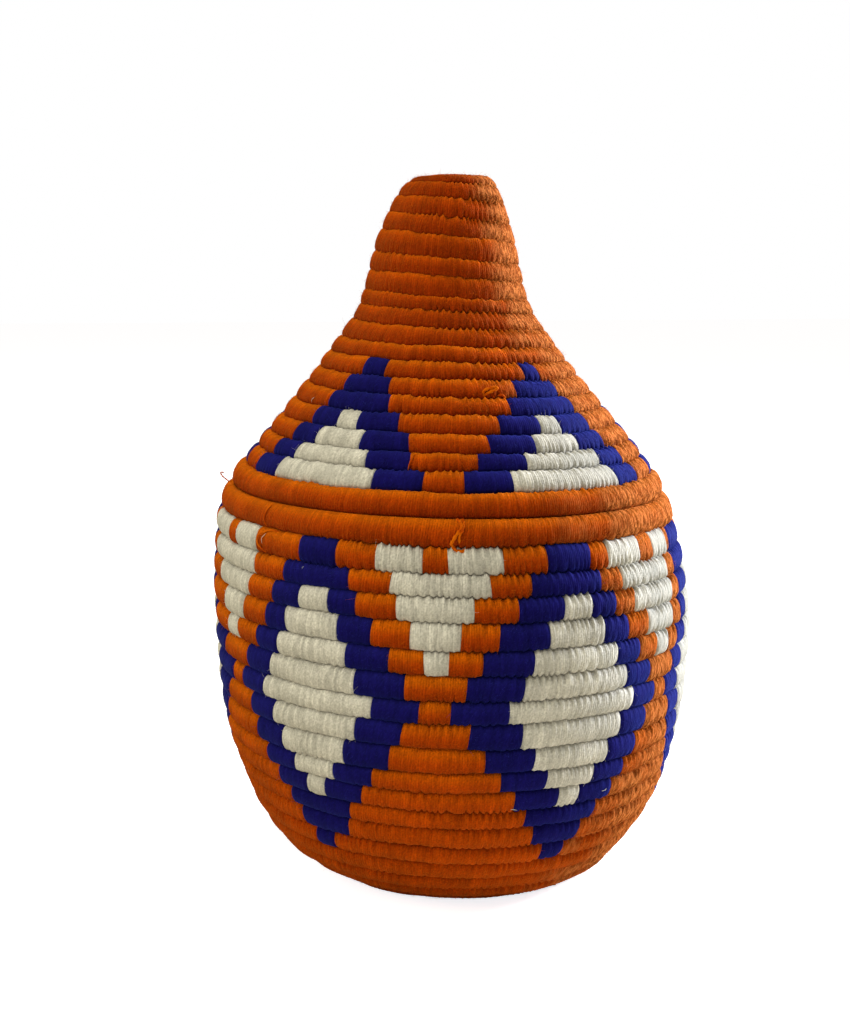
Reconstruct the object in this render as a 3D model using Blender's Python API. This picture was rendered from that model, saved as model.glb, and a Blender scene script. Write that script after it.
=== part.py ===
"""Lidded storage basket, coiled from a yarn-wrapped core, in metres with +Z up and the front towards -Y.

The pot and the lid are two spiral coils on one smooth outline. The pot climbs clockwise, seen from above,
from the middle of its base to its rim. The lid falls anticlockwise from the middle of its crown to its rim.
Every full turn of a coil is one object. Neighbouring turns share a boundary across the wall, with a small
gap. Both rims thin out to a tip at the back, in the same stretch, so the lid seats all the way round.
"""

import math

import bmesh
import bpy
from mathutils import Vector
from mathutils.geometry import interpolate_bezier

# Outer outline of the closed basket: radius of each place that it passes through, and its rise from the last
BASE_RADIUS = 0.0490
FOOT_RADIUS = 0.0715
FOOT_RISE = 0.0139
FLANK_RADIUS = 0.0868
FLANK_RISE = 0.0300
BELLY_RADIUS = 0.0946
BELLY_RISE = 0.0540
SHOULDER_RADIUS = 0.0905
SHOULDER_RISE = 0.0415
MOUTH_RADIUS = 0.0862
MOUTH_RISE = 0.0130
CONE_RADIUS = 0.0700
CONE_RISE = 0.0225
NECK_RADIUS = 0.0366
NECK_RISE = 0.0432
PEAK_RADIUS = 0.0252
PEAK_RISE = 0.0363
CROWN_RADIUS = 0.0110
CROWN_RISE = 0.0190

# Coil of the pot: height of a row along the outline, thickness of the wall, and counts of turns
POT_ROW_HEIGHT = 0.00885
POT_COIL_DEPTH = 0.0095
POT_RIM_HEIGHT = 0.0099
POT_RIM_DEPTH = 0.0110
POT_KNOT_RADIUS = 0.0040
BASE_TURNS = 7
POT_ROWS = 17

# Coil of the lid
LID_ROW_HEIGHT = 0.00787
LID_COIL_DEPTH = 0.0085
LID_RIM_HEIGHT = 0.0094
LID_RIM_DEPTH = 0.0105
LID_KNOT_RADIUS = 0.0026
CROWN_TURNS = 2
LID_PLAIN_ROWS = 11
LID_PATTERN_ROWS = 7

# Collar inside the mouth, which keeps the lid from sliding off
COLLAR_TURNS = 2
COLLAR_HEIGHT = 0.0080
COLLAR_DEPTH = 0.0080
COLLAR_CLEARANCE = 0.0015

# Shape of a wrapped round: how far its flanks start and end across the wall, as shares of its depth
FLANK_START = 0.27
FLANK_END = 0.74
RIM_PROUD = 0.0008
BASE_FLAT_DEPTH = 0.0009
TIP_HEIGHT = 0.0010
TIP_DEPTH_SHARE = 0.60

# Gap between neighbouring rounds
GAP = 0.0003

# Turning: angles are degrees from +X towards +Y, and the front is at -90
FRONT_ANGLE = -90.0
POT_SEAM_ANGLE = 60.0
TAPER_ANGLE = 60.0
STATIONS_WIDE = 24
STATIONS_NARROW = 12
NARROW_RADIUS = 0.034
OUTLINE_STEPS = 60
KNOT_SIDES = 12

# Yarn that covers most of a round, where that isn't orange; blue and orange tie on the two blue ones
MOSTLY_WHITE = [*(f"pot_row_{row:02d}" for row in range(2, 9)), "lid_pattern_row_06", "lid_pattern_row_07"]
MOSTLY_BLUE = ["pot_row_09", "lid_pattern_row_05"]

# Finishes: colour, roughness and metallic value of each yarn
YARNS = {
    "yarn_orange": ((0.68, 0.13, 0.008, 1.0), 0.85, 0.0),
    "yarn_white": ((0.60, 0.57, 0.47, 1.0), 0.85, 0.0),
    "yarn_blue": ((0.022, 0.024, 0.16, 1.0), 0.85, 0.0),
}


class Outline:
    """The outer outline from the middle of the base to the middle of the crown, read by length along it."""

    def __init__(self, start_height, places):
        """Lay a smooth curve through the (radius, rise) places, level in its first and last stretch."""
        corners = [Vector((0.0, start_height, 0.0))]
        for radius, rise in places:
            corners.append(Vector((radius, corners[-1].y + rise, 0.0)))
        level = Vector((1.0, 0.0, 0.0))
        courses = [(after - before).normalized() for before, after in zip(corners, corners[2:])]
        courses = [level, level, *courses[1:-1], -level, -level]
        self.points = [corners[0]]
        for start, end, leaving, arriving in zip(corners, corners[1:], courses, courses[1:]):
            reach = (end - start).length / 3.0
            self.points += interpolate_bezier(
                start, start + leaving * reach, end - arriving * reach, end, OUTLINE_STEPS
            )[1:]
        self.lengths = [0.0]
        for start, end in zip(self.points, self.points[1:]):
            self.lengths.append(self.lengths[-1] + (end - start).length)
        self.total = self.lengths[-1]

    def length_at(self, radius):
        """Return the length along the outline at the last place of the radius that it passes through."""
        nearest = max(index for index, point in enumerate(self.points) if point.x >= radius - GAP / 100.0)
        return self.lengths[nearest]

    def place(self, length):
        """Return the point, the direction along and the direction out of the wall at a length."""
        length = min(max(length, 0.0), self.total)
        low, high = 0, len(self.lengths) - 1
        while high - low > 1:
            middle = (low + high) // 2
            if self.lengths[middle] <= length:
                low = middle
            else:
                high = middle
        start, end = self.points[low], self.points[high]
        share = (length - self.lengths[low]) / (self.lengths[high] - self.lengths[low])
        before = self.points[max(low - 1, 0)]
        after = self.points[min(high + 1, len(self.points) - 1)]
        leaving, arriving = (end - before).normalized(), (after - start).normalized()
        along = leaving.lerp(arriving, share).normalized()
        return start.lerp(end, share), along, Vector((along.y, -along.x, 0.0))


def crosswise(outline, length, depth, shift):
    """Return the point at a depth behind the outline, moved along it by a shift."""
    point, along, out = outline.place(length)
    return point - out * depth + along * shift


def round_section(outline, low, high, depth, proud=0.0, flat=0.0):
    """Return the section of a round between two lengths, as points of radius and height, turning one way.

    The noses lie halfway, outside and inside. The flanks lie along the boundaries with the neighbours.
    """
    middle = (low + high) / 2.0
    start, end = depth * FLANK_START, depth * FLANK_END
    upper = [crosswise(outline, high, start, -GAP / 2.0), crosswise(outline, high, end, -GAP / 2.0)]
    lower = [crosswise(outline, low, end, GAP / 2.0), crosswise(outline, low, start, GAP / 2.0)]
    inner = [crosswise(outline, middle, depth, 0.0)]
    if flat:
        half_width = (high - low - GAP) / 2.0 * flat / start
        outer = [crosswise(outline, middle, flat, side * half_width) for side in (-1.0, 1.0)]
        for point in outer:
            point.y = max(point.y, 0.0)
    else:
        outer = [crosswise(outline, middle, -proud, 0.0)]
    return outer + upper + inner + lower


class Coil:
    """A spiral coil: where the boundaries between its turns lie, for any count of turns from its start.

    The first turn starts as a thin tip beside the knot. The turns up to the rows fill what the rows leave.
    """

    def __init__(self, outline, seam, heading, knot, fill_turns, rows, row_height, rim_height, mouth):
        """Divide the outline between the knot and the mouth; lengths count from the coil's own start."""
        self.outline = outline
        self.seam = seam
        self.heading = heading
        self.knot = knot
        self.fill_turns = fill_turns
        self.turns = fill_turns + rows + 1
        self.row_height = row_height
        self.rim_height = rim_height
        self.tip = max(rim_height - row_height, TIP_HEIGHT)
        rows_and_part = rows + self.part_turn(math.radians(FRONT_ANGLE))
        filled = mouth - rim_height - rows_and_part * row_height
        self.fill_height = (filled - knot - self.tip) / (fill_turns - 1)

    def boundary(self, turns):
        """Return the length where the coil's starting edge lies after a number of turns."""
        if turns < 1.0:
            return self.knot
        filled = min(turns, float(self.fill_turns)) - 1.0
        rows = max(turns - self.fill_turns, 0.0)
        return self.knot + self.tip + filled * self.fill_height + rows * self.row_height

    def angle(self, turns):
        """Return the angle in radians that the coil has reached after a number of turns."""
        return math.radians(self.seam + self.heading * 360.0 * turns)

    def part_turn(self, angle):
        """Return the part of a turn that the coil has made past its seam at an angle in radians."""
        return ((math.degrees(angle) - self.seam) * self.heading / 360.0) % 1.0

    def thinning(self, turns):
        """Return the share of its full size that the rim has, as it thins out to its tip."""
        left = (self.turns - turns) * 360.0 / TAPER_ANGLE
        return min(max(left, 0.0), 1.0)

    def depth_share(self, turns):
        """Return the share of its full depth that the coil has."""
        return TIP_DEPTH_SHARE + (1.0 - TIP_DEPTH_SHARE) * self.thinning(turns)


class PotCoil(Coil):
    """The coil of the pot, whose starting edges are the lower ones."""

    def edges(self, turn, turns):
        """Return the lengths along the outline at which a turn starts and ends."""
        low = self.boundary(turns)
        if turn < self.turns - 1:
            return low, self.boundary(turns + 1.0)
        return low, low + self.tip + (self.rim_height - self.tip) * self.thinning(turns)

    def seat(self, angle):
        """Return the length along the outline of the rim's top edge at an angle in radians."""
        rim = self.turns - 1
        return self.edges(rim, rim + self.part_turn(angle))[1]


class LidCoil(Coil):
    """The coil of the lid, whose starting edges are the upper ones. Its rim is worked to the pot's rim."""

    def __init__(self, pot, *sizes):
        """Take the pot's coil, on which the lid sits, and the sizes of any coil."""
        super().__init__(*sizes)
        self.pot = pot

    def edges(self, turn, turns):
        """Return the lengths along the outline at which a turn starts and ends."""
        high = self.outline.total - self.boundary(turns)
        if turn < self.turns - 1:
            return self.outline.total - self.boundary(turns + 1.0), high
        return self.pot.seat(self.angle(turns)), high


def turn_stations(turn, widest):
    """Return the counts of turns at which a turn's sections stand, drawn in at both ends by half a gap."""
    count = STATIONS_WIDE if widest > NARROW_RADIUS else STATIONS_NARROW
    stations = [turn + step / count for step in range(count + 1)]
    inset = GAP / 2.0 / (2.0 * math.pi * widest)
    stations[0] += inset
    stations[-1] -= inset
    return stations


def sweep(name, sections, angles, material):
    """Make one closed solid by extruding a first section through all the others, round the Z axis."""
    rings = [
        [(point.x * math.cos(angle), point.x * math.sin(angle), point.y) for point in section]
        for section, angle in zip(sections, angles)
    ]
    mesh = bmesh.new()
    face = mesh.faces.new([mesh.verts.new(point) for point in rings[0]])
    for ring in rings[1:]:
        made = bmesh.ops.extrude_face_region(mesh, geom=[face, *face.edges])["geom"]
        face = next(item for item in made if isinstance(item, bmesh.types.BMFace))
        for corner, point in zip(face.verts, ring):
            corner.co = point
    return finish(name, mesh, material)


def finish(name, mesh, material):
    """Turn a mesh's faces outwards, shade it smooth but for its sharp ends, and put it in the scene."""
    bmesh.ops.recalc_face_normals(mesh, faces=mesh.faces)
    data = bpy.data.meshes.new(name)
    mesh.to_mesh(data)
    mesh.free()
    data.shade_smooth()
    data.set_sharp_from_angle(angle=math.radians(70.0))
    data.materials.append(material)
    piece = bpy.data.objects.new(name, data)
    bpy.context.scene.collection.objects.link(piece)
    return piece


def main_yarn(name, materials):
    """Return the material of the yarn that covers most of a round."""
    if name in MOSTLY_WHITE:
        return materials["yarn_white"]
    return materials["yarn_blue" if name in MOSTLY_BLUE else "yarn_orange"]


def knot_button(name, low, high, radius, materials):
    """Make the knot that a coil starts from: a round button on the Z axis with softened edges."""
    mesh = bmesh.new()
    bmesh.ops.create_cone(
        mesh, cap_ends=True, segments=KNOT_SIDES, radius1=radius, radius2=radius, depth=high - low
    )
    bmesh.ops.translate(mesh, verts=mesh.verts, vec=(0.0, 0.0, (low + high) / 2.0))
    edges = [edge for edge in mesh.edges if abs(edge.verts[0].co.z - edge.verts[1].co.z) < GAP]
    bmesh.ops.bevel(mesh, geom=edges, offset=radius * FLANK_START, segments=1, affect="EDGES")
    return finish(name, mesh, main_yarn(name, materials))


def wound_turn(name, coil, turn, depth, materials, proud=0.0, flat=0.0):
    """Make one turn of a coil, from its edges at each station."""
    ends = [length for turns in (turn, turn + 1.0) for length in coil.edges(turn, turns)]
    widest = max(coil.outline.place(length)[0].x for length in ends)
    sections, angles = [], []
    for turns in turn_stations(turn, widest):
        low, high = coil.edges(turn, turns)
        if high - low > TIP_HEIGHT - GAP:
            share = coil.depth_share(turns)
            sections.append(round_section(coil.outline, low, high, depth * share, proud * share, flat))
            angles.append(coil.angle(turns))
    return sweep(name, sections, angles, main_yarn(name, materials))


def make_pot(pot, materials):
    """Make the pot's knot, base turns, rows and rim. Rows are numbered from the rim down."""
    knot_button("pot_base_knot", 0.0, POT_COIL_DEPTH - BASE_FLAT_DEPTH, pot.knot - GAP / 2.0, materials)
    for turn in range(BASE_TURNS):
        wound_turn(f"pot_base_turn_{turn + 1}", pot, turn, POT_COIL_DEPTH, materials, flat=BASE_FLAT_DEPTH)
    for row in range(POT_ROWS, 0, -1):
        wound_turn(f"pot_row_{row:02d}", pot, BASE_TURNS + POT_ROWS - row, POT_COIL_DEPTH, materials)
    wound_turn("pot_rim", pot, pot.turns - 1, POT_RIM_DEPTH, materials, proud=RIM_PROUD)


def make_lid(lid, materials):
    """Make the lid's knot, crown turns, rows and rim. Rows are numbered from the crown down."""
    top = lid.outline.points[-1].y
    knot_button("lid_crown_knot", top - LID_COIL_DEPTH, top, lid.knot - GAP / 2.0, materials)
    names = [f"lid_crown_turn_{turn + 1}" for turn in range(CROWN_TURNS)]
    names += [f"lid_plain_row_{row + 1:02d}" for row in range(LID_PLAIN_ROWS)]
    names += [f"lid_pattern_row_{row + 1:02d}" for row in range(LID_PATTERN_ROWS)]
    for turn, name in enumerate(names):
        wound_turn(name, lid, turn, LID_COIL_DEPTH, materials)
    wound_turn("lid_rim", lid, lid.turns - 1, LID_RIM_DEPTH, materials, proud=RIM_PROUD)


def mouth_radius(pot, angle):
    """Return how wide the pot's mouth is at an angle: the inner nose of its rim or of the row below it."""
    radii = []
    for turn, depth in ((pot.turns - 1, POT_RIM_DEPTH), (pot.turns - 2, POT_COIL_DEPTH)):
        turns = turn + pot.part_turn(angle)
        low, high = pot.edges(turn, turns)
        radii.append(crosswise(pot.outline, (low + high) / 2.0, depth * pot.depth_share(turns), 0.0).x)
    return min(radii)


def make_collar(lid, materials):
    """Make the collar: turns inside the mouth, one under the other, hung from the inside of the lid's rim."""
    half_depth, half_height = COLLAR_DEPTH / 2.0, COLLAR_HEIGHT / 2.0
    flank = half_depth - COLLAR_DEPTH * FLANK_START
    corners = [
        (half_depth, 0.0), (flank, half_height), (-flank, half_height),
        (-half_depth, 0.0), (-flank, -half_height), (flank, -half_height),
    ]
    reach = (LID_RIM_DEPTH + COLLAR_DEPTH) / 2.0 + GAP
    for turn in range(COLLAR_TURNS):
        sections, angles = [], []
        for turns in turn_stations(0, MOUTH_RADIUS):
            angle = lid.angle(turns)
            rim_middle = crosswise(
                lid.outline, lid.pot.seat(angle) + LID_RIM_HEIGHT / 2.0, LID_RIM_DEPTH / 2.0, 0.0
            )
            radius = mouth_radius(lid.pot, angle) - COLLAR_CLEARANCE - half_depth
            drop = math.sqrt(max(reach**2 - (rim_middle.x - radius) ** 2, 0.0))
            height = rim_middle.y - drop - turn * (COLLAR_HEIGHT + GAP)
            sections.append([Vector((radius + x, height + y, 0.0)) for x, y in corners])
            angles.append(angle)
        name = f"lid_collar_turn_{turn + 1}"
        sweep(name, sections, angles, main_yarn(name, materials))


def make_material(name, color, roughness, metallic):
    """Make a yarn's material."""
    material = bpy.data.materials.new(name)
    material.use_nodes = True
    shader = material.node_tree.nodes["Principled BSDF"]
    shader.inputs["Base Color"].default_value = color
    shader.inputs["Roughness"].default_value = roughness
    shader.inputs["Metallic"].default_value = metallic
    return material


def main():
    """Build the basket."""
    for item in list(bpy.data.objects):
        bpy.data.objects.remove(item, do_unlink=True)
    materials = {name: make_material(name, *finish_values) for name, finish_values in YARNS.items()}
    outline = Outline(-BASE_FLAT_DEPTH, [
        (BASE_RADIUS, 0.0), (FOOT_RADIUS, FOOT_RISE), (FLANK_RADIUS, FLANK_RISE), (BELLY_RADIUS, BELLY_RISE),
        (SHOULDER_RADIUS, SHOULDER_RISE), (MOUTH_RADIUS, MOUTH_RISE), (CONE_RADIUS, CONE_RISE),
        (NECK_RADIUS, NECK_RISE), (PEAK_RADIUS, PEAK_RISE), (CROWN_RADIUS, CROWN_RISE), (0.0, 0.0),
    ])
    mouth = outline.length_at(MOUTH_RADIUS)
    pot = PotCoil(
        outline, POT_SEAM_ANGLE, -1, POT_KNOT_RADIUS, BASE_TURNS, POT_ROWS,
        POT_ROW_HEIGHT, POT_RIM_HEIGHT, mouth,
    )
    lid = LidCoil(
        pot, outline, POT_SEAM_ANGLE + TAPER_ANGLE, 1, LID_KNOT_RADIUS, CROWN_TURNS + LID_PLAIN_ROWS,
        LID_PATTERN_ROWS, LID_ROW_HEIGHT, LID_RIM_HEIGHT, outline.total - mouth,
    )
    make_pot(pot, materials)
    make_lid(lid, materials)
    make_collar(lid, materials)


main()
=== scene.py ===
"""Dress a gourd-shaped storage basket with a lift-off lid: coils wrapped in orange, blue and white yarn.

Every turn of the coils in the frame is replaced by the yarn that is wound round it, one piece for each
colour, with the interlocking teeth along its edges, the single wraps, fibres and loose ends.
Lengths are metres. Angles are degrees round +Z, and the front is at -90.
"""

import logging
import math
from dataclasses import dataclass, field
from enum import Enum

import bpy
import numpy as np
from mathutils import Matrix, Vector
from mathutils.geometry import interpolate_bezier

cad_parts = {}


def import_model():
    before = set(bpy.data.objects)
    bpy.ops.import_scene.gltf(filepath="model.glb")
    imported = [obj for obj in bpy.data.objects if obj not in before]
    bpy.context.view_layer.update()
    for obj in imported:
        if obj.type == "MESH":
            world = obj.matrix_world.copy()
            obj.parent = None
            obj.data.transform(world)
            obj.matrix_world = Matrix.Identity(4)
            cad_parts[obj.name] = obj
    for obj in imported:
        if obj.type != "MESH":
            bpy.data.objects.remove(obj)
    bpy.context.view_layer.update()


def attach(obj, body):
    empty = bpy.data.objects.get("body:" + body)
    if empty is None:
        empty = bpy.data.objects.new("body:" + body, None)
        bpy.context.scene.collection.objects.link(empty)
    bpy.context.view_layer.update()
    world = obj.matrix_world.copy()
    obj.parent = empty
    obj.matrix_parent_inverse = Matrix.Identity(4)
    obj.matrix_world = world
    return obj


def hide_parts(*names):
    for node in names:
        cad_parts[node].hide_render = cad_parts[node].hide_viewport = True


log = logging.getLogger("basket")

MM = 0.001
FRONT = -90.0
BLUNTNESS = 2.15
FINE_STEPS = 6001
WRAP_MAP = "wraps"
# Point marks for the shader: crease depth, for its painted shade; the share of painted shade and highlight on each
# round; looseness, which also sets a painted sheen
MARKS = ("crease", "lower", "loose")
MERGE_DISTANCE = 2e-7
QUAD_SIDES = 4

Array = np.ndarray
Color = tuple[float, float, float]
Spans = list[tuple[float, float]]
Piece = bpy.types.Object
Socket = bpy.types.NodeSocket


class Yarn(Enum):
    """The yarns that the basket is wrapped in, by their slots in the record."""

    ORANGE = "yarn_orange"
    BLUE = "yarn_blue"
    WHITE = "yarn_white"

    @property
    def word(self) -> str:
        """Return the colour's name."""
        return self.value.split("_")[1]


# ---------------------------------------------------------------- finishes


class NodeBench:
    """A small helper that lays out the nodes of one tree."""

    def __init__(self, tree: bpy.types.NodeTree) -> None:
        """Take the tree to work on."""
        self.tree = tree

    def add(self, kind: str, **settings: object) -> bpy.types.Node:
        """Add a node and give it its settings.

        Args:
            kind: The node's type name.
            settings: Its properties by name.

        Returns:
            The new node.
        """
        node = self.tree.nodes.new(kind)
        for name, value in settings.items():
            setattr(node, name, value)
        return node

    def feed(self, socket: Socket, source: object) -> None:
        """Link a socket to another, or give it a plain value."""
        if isinstance(source, Socket):
            self.tree.links.new(source, socket)
        else:
            socket.default_value = source

    def fill(self, node: bpy.types.Node, *sources: object, **named: object) -> Socket:
        """Feed a node's inputs in order and by name.

        Args:
            node: The node.
            sources: Sockets or values for its first inputs.
            named: Sockets or values for other inputs by name.

        Returns:
            The node's first output.
        """
        for socket, source in zip(node.inputs, sources):
            self.feed(socket, source)
        for name, source in named.items():
            self.feed(node.inputs[name], source)
        return node.outputs[0]

    def work(self, operation: str, *terms: object, clamp: bool = False) -> Socket:
        """Work out a value from one to three others.

        Args:
            operation: The Math node's operation.
            terms: Values or sockets.
            clamp: Whether the result is held between 0 and 1.

        Returns:
            The socket with the result.
        """
        return self.fill(self.add("ShaderNodeMath", operation=operation, use_clamp=clamp), *terms)

    def times(self, first: object, second: object) -> Socket:
        """Return the product of two values."""
        return self.work("MULTIPLY", first, second)

    def ramp(self, value: object, low: float, high: float, start: float = 0.0, end: float = 1.0) -> Socket:
        """Map a value smoothly from one span to another.

        Args:
            value: The socket that is mapped.
            low: Where the span starts.
            high: Where the span ends.
            start: The result at the start.
            end: The result at the end.

        Returns:
            The socket with the result.
        """
        node = self.add("ShaderNodeMapRange", interpolation_type="SMOOTHSTEP")
        return self.fill(node, value, low, high, start, end)

    def blend(self, share: object, first: object, second: object, kind: str = "MIX") -> Socket:
        """Mix two colours.

        Args:
            share: How much of the second, from 0 to 1.
            first: The first colour.
            second: The second colour.
            kind: The Mix node's blend type.

        Returns:
            The socket with the colour.
        """
        node = self.add("ShaderNodeMix", data_type="RGBA", blend_type=kind)
        for place, source in ((0, share), (6, first), (7, second)):
            self.feed(node.inputs[place], source)
        return node.outputs[2]

    def noise(self, place: object, scale: float, detail: float, **named: object) -> Socket:
        """Read a noise.

        Args:
            place: Where it is read.
            scale: Its scale.
            detail: Its detail.
            named: Its other inputs by name.

        Returns:
            The socket with its value.
        """
        node = self.add("ShaderNodeTexNoise", noise_dimensions="3D")
        return self.fill(node, Vector=place, Scale=scale, Detail=detail, **named)


def start_material(name: str) -> tuple[bpy.types.Material, NodeBench, bpy.types.Node]:
    """Start a material.

    Args:
        name: Its name.

    Returns:
        The material, a bench for its nodes, and its shader.
    """
    material = bpy.data.materials.new(name)
    material.use_nodes = True
    return material, NodeBench(material.node_tree), material.node_tree.nodes["Principled BSDF"]


class WrapGroup:
    """The shared effect of wrapped yarn, as a node group: wraps, shaded creases, twist and stray light fibres.

    It paints shade into the creases, onto the lower part of each round and into the gaps of loose yarn, paints light
    onto the upper part of each round, and gives the loose side a colour that is partly a painted sheen. Its UV map
    counts the wraps along the coil and goes once round it.
    """

    # Fuzz is the loose side's colour, partly a painted sheen
    # Lower Shade and Upper Light paint shade and light onto each round; Crease Share and Wrap Contrast paint shade
    # into creases
    SOCKETS = (
        ("INPUT", "Color", ("Yarn", "Shade", "Light", "Fuzz")),
        ("INPUT", "Float", ("Fleck Share", "Crease Share", "Wrap Contrast", "Lower Shade", "Upper Light",
                            "Raggedness")),
        ("OUTPUT", "Color", ("Color",)),
        ("OUTPUT", "Float", ("Height",)),
    )
    WANDER = 0.3
    TONE_SPAN = 0.26
    LEAST_TONE = 0.87
    RIDGE_POWER = 2.2
    VALLEY_POWER = 3.0
    # Painted shade between the teeth and in the gaps of loose yarn, and shares of the loose side's colour, partly a
    # painted sheen
    TOOTH_CREASE = 0.35
    HOLLOW_SHADE = 0.13
    STREAK_FUZZ = 0.60
    PLAIN_FUZZ = 0.22
    RIDGE_SPAN = 0.35
    LEAST_RIDGE = 0.30
    STREAK_HEIGHT = 0.30
    FIBRE_HEIGHT = 1.1
    PLAIN_TANGLE = 0.8
    GRAIN_HEIGHT = 0.45

    def __init__(self) -> None:
        """Lay out the whole group."""
        self.tree = bpy.data.node_groups.new("yarn wraps", "ShaderNodeTree")
        for way, kind, names in self.SOCKETS:
            for name in names:
                self.tree.interface.new_socket(name, in_out=way, socket_type=f"NodeSocket{kind}")
        self.bench = bench = NodeBench(self.tree)
        self.given = bench.add("NodeGroupInput").outputs
        self.place = bench.add("ShaderNodeTexCoord").outputs["Object"]
        # The lower mark is the share of painted shade and painted highlight; the loose mark also sets the painted
        # sheen
        self.crease, self.lower, self.loose = (
            bench.add("ShaderNodeAttribute", attribute_name=mark).outputs["Fac"] for mark in MARKS)
        self.ragged = bench.times(self.loose, self.given["Raggedness"])
        self.lay_wraps()
        self.lay_fibres()
        out = bench.add("NodeGroupOutput")
        bench.feed(out.inputs["Color"], self.color())
        bench.feed(out.inputs["Height"], self.height())

    def lay_wraps(self) -> None:
        """Lay the single wraps, which wander a little and have a tone of their own."""
        bench = self.bench
        lay = bench.add("ShaderNodeSeparateXYZ")
        bench.feed(lay.inputs[0], bench.add("ShaderNodeUVMap", uv_map=WRAP_MAP).outputs[0])
        along, self.around = lay.outputs[0], lay.outputs[1]
        drift = bench.noise(self.place, scale=330.0, detail=1.0)
        self.count = bench.work("ADD", along, bench.work("MULTIPLY_ADD", drift, self.WANDER, -self.WANDER / 2.0))
        self.arch = bench.work("ABSOLUTE", bench.work("MULTIPLY_ADD", bench.work("FRACT", self.count), 2.0, -1.0))
        single = bench.add("ShaderNodeTexWhiteNoise", noise_dimensions="1D")
        self.tone = bench.fill(single, W=bench.work("FLOOR", self.count))

    def lay_fibres(self) -> None:
        """Lay the fibres along each wrap, the tufts and slanting streaks of loose yarn, and bunches of wraps."""
        bench = self.bench
        self.fibre = self.wound_noise((26.0, 1.9, 9.0), scale=1.6, detail=3.0, Roughness=0.65)
        self.tuft = self.wound_noise((9.0, 0.85, 15.0), scale=1.3, detail=2.0)
        streak = self.wound_noise((3.5, 1.0, 6.0), scale=1.05, detail=2.0)
        self.streak = bench.ramp(streak, low=0.42, high=0.60)
        self.bunch = self.wound_noise((0.0, 0.30, 3.0), scale=1.0, detail=1.0)
        self.cloud = bench.noise(self.place, scale=75.0, detail=2.0)
        self.grain = bench.noise(self.place, scale=1500.0, detail=2.0)

    def wound_noise(self, steps: Color, scale: float, detail: float, **named: object) -> Socket:
        """Read a noise that lies along the wraps.

        Args:
            steps: The noise's steps in one time round, for each wrap, and along the wrap in one time round.
            scale: Its scale.
            detail: Its detail.
            named: Its other inputs by name.

        Returns:
            The socket with its value.
        """
        slant, wraps, turns = steps
        bench = self.bench
        along = bench.work("MULTIPLY_ADD", self.around, slant, bench.times(self.count, wraps))
        place = bench.fill(bench.add("ShaderNodeCombineXYZ"), along, bench.times(self.around, turns))
        return bench.noise(place, scale, detail, **named)

    def darkness(self) -> Socket:
        """Paint shade into the creases: both edges of a round, and between the wraps and the teeth.

        Returns:
            The socket with the share of painted shade.
        """
        bench, given = self.bench, self.given
        across = bench.work("MULTIPLY_ADD", bench.work("FRACT", bench.times(self.around, 2.0)), 2.0, -1.0)
        edge = bench.ramp(bench.work("ABSOLUTE", across), low=0.55, high=1.0)
        # Less painted shade at the upper edge of rounds lit from above
        edge = bench.times(edge, bench.ramp(self.lower, low=-0.9, high=0.1, start=0.30))
        valley = bench.times(bench.work("POWER", self.arch, self.VALLEY_POWER), given["Wrap Contrast"])
        dark = bench.work("ADD", bench.times(edge, given["Crease Share"]), valley)
        between = bench.times(bench.ramp(self.crease, low=0.0, high=1.0), self.TOOTH_CREASE)
        return bench.work("ADD", dark, between, clamp=True)

    def level(self) -> Socket:
        """Vary the tone from wrap to wrap and over the basket, and paint shade into the gaps between the loose
        strands.

        Returns:
            The socket with the level that the colour is multiplied by.
        """
        bench = self.bench
        level = bench.work("MULTIPLY_ADD", self.tone, self.TONE_SPAN, self.LEAST_TONE)
        for value, swing in ((self.cloud, 0.10), (self.bunch, 0.10), (self.grain, 0.14), (self.tuft, 0.10)):
            level = bench.times(level, bench.ramp(value, low=0.3, high=0.7, start=1.0 - swing, end=1.0 + swing))
        # Painted shade in the gaps between the streaks of loose yarn
        bare = bench.work("SUBTRACT", 1.0, self.streak)
        hollow_shade = bench.times(bare, bench.times(self.ragged, self.HOLLOW_SHADE))
        return bench.times(level, bench.work("SUBTRACT", 1.0, hollow_shade))

    def color(self) -> Socket:
        """Colour the yarn, with painted shade and painted light.

        Returns:
            The socket with the colour.
        """
        bench, given = self.bench, self.given
        # Painted shade on the lower part of each round and painted highlight on its upper part, as light from above
        # falls
        shaded = bench.times(bench.ramp(self.lower, low=-0.45, high=0.95), given["Lower Shade"])
        color = bench.blend(shaded, given["Yarn"], given["Shade"])
        lit = bench.ramp(self.lower, low=-0.80, high=0.10, start=1.0, end=0.0)
        color = bench.blend(bench.times(lit, given["Upper Light"]), color, given["Light"])
        # Painted shade in the creases
        color = bench.blend(self.darkness(), color, given["Shade"])
        tone_and_hollow_shade = bench.fill(bench.add("ShaderNodeCombineColor"), *[self.level()] * 3)
        color = bench.blend(1.0, color, tone_and_hollow_shade, "MULTIPLY")
        fleck = bench.times(bench.ramp(self.fibre, low=0.50, high=0.72), given["Fleck Share"])
        color = bench.blend(fleck, color, given["Light"])
        # The loose side's colour, partly stray fibres and partly a painted sheen: lighter on orange and blue, greyer
        # on white
        fuzz = bench.work("MULTIPLY_ADD", self.streak, self.STREAK_FUZZ, self.PLAIN_FUZZ)
        return bench.blend(bench.times(self.loose, fuzz), color, given["Fuzz"])

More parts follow.
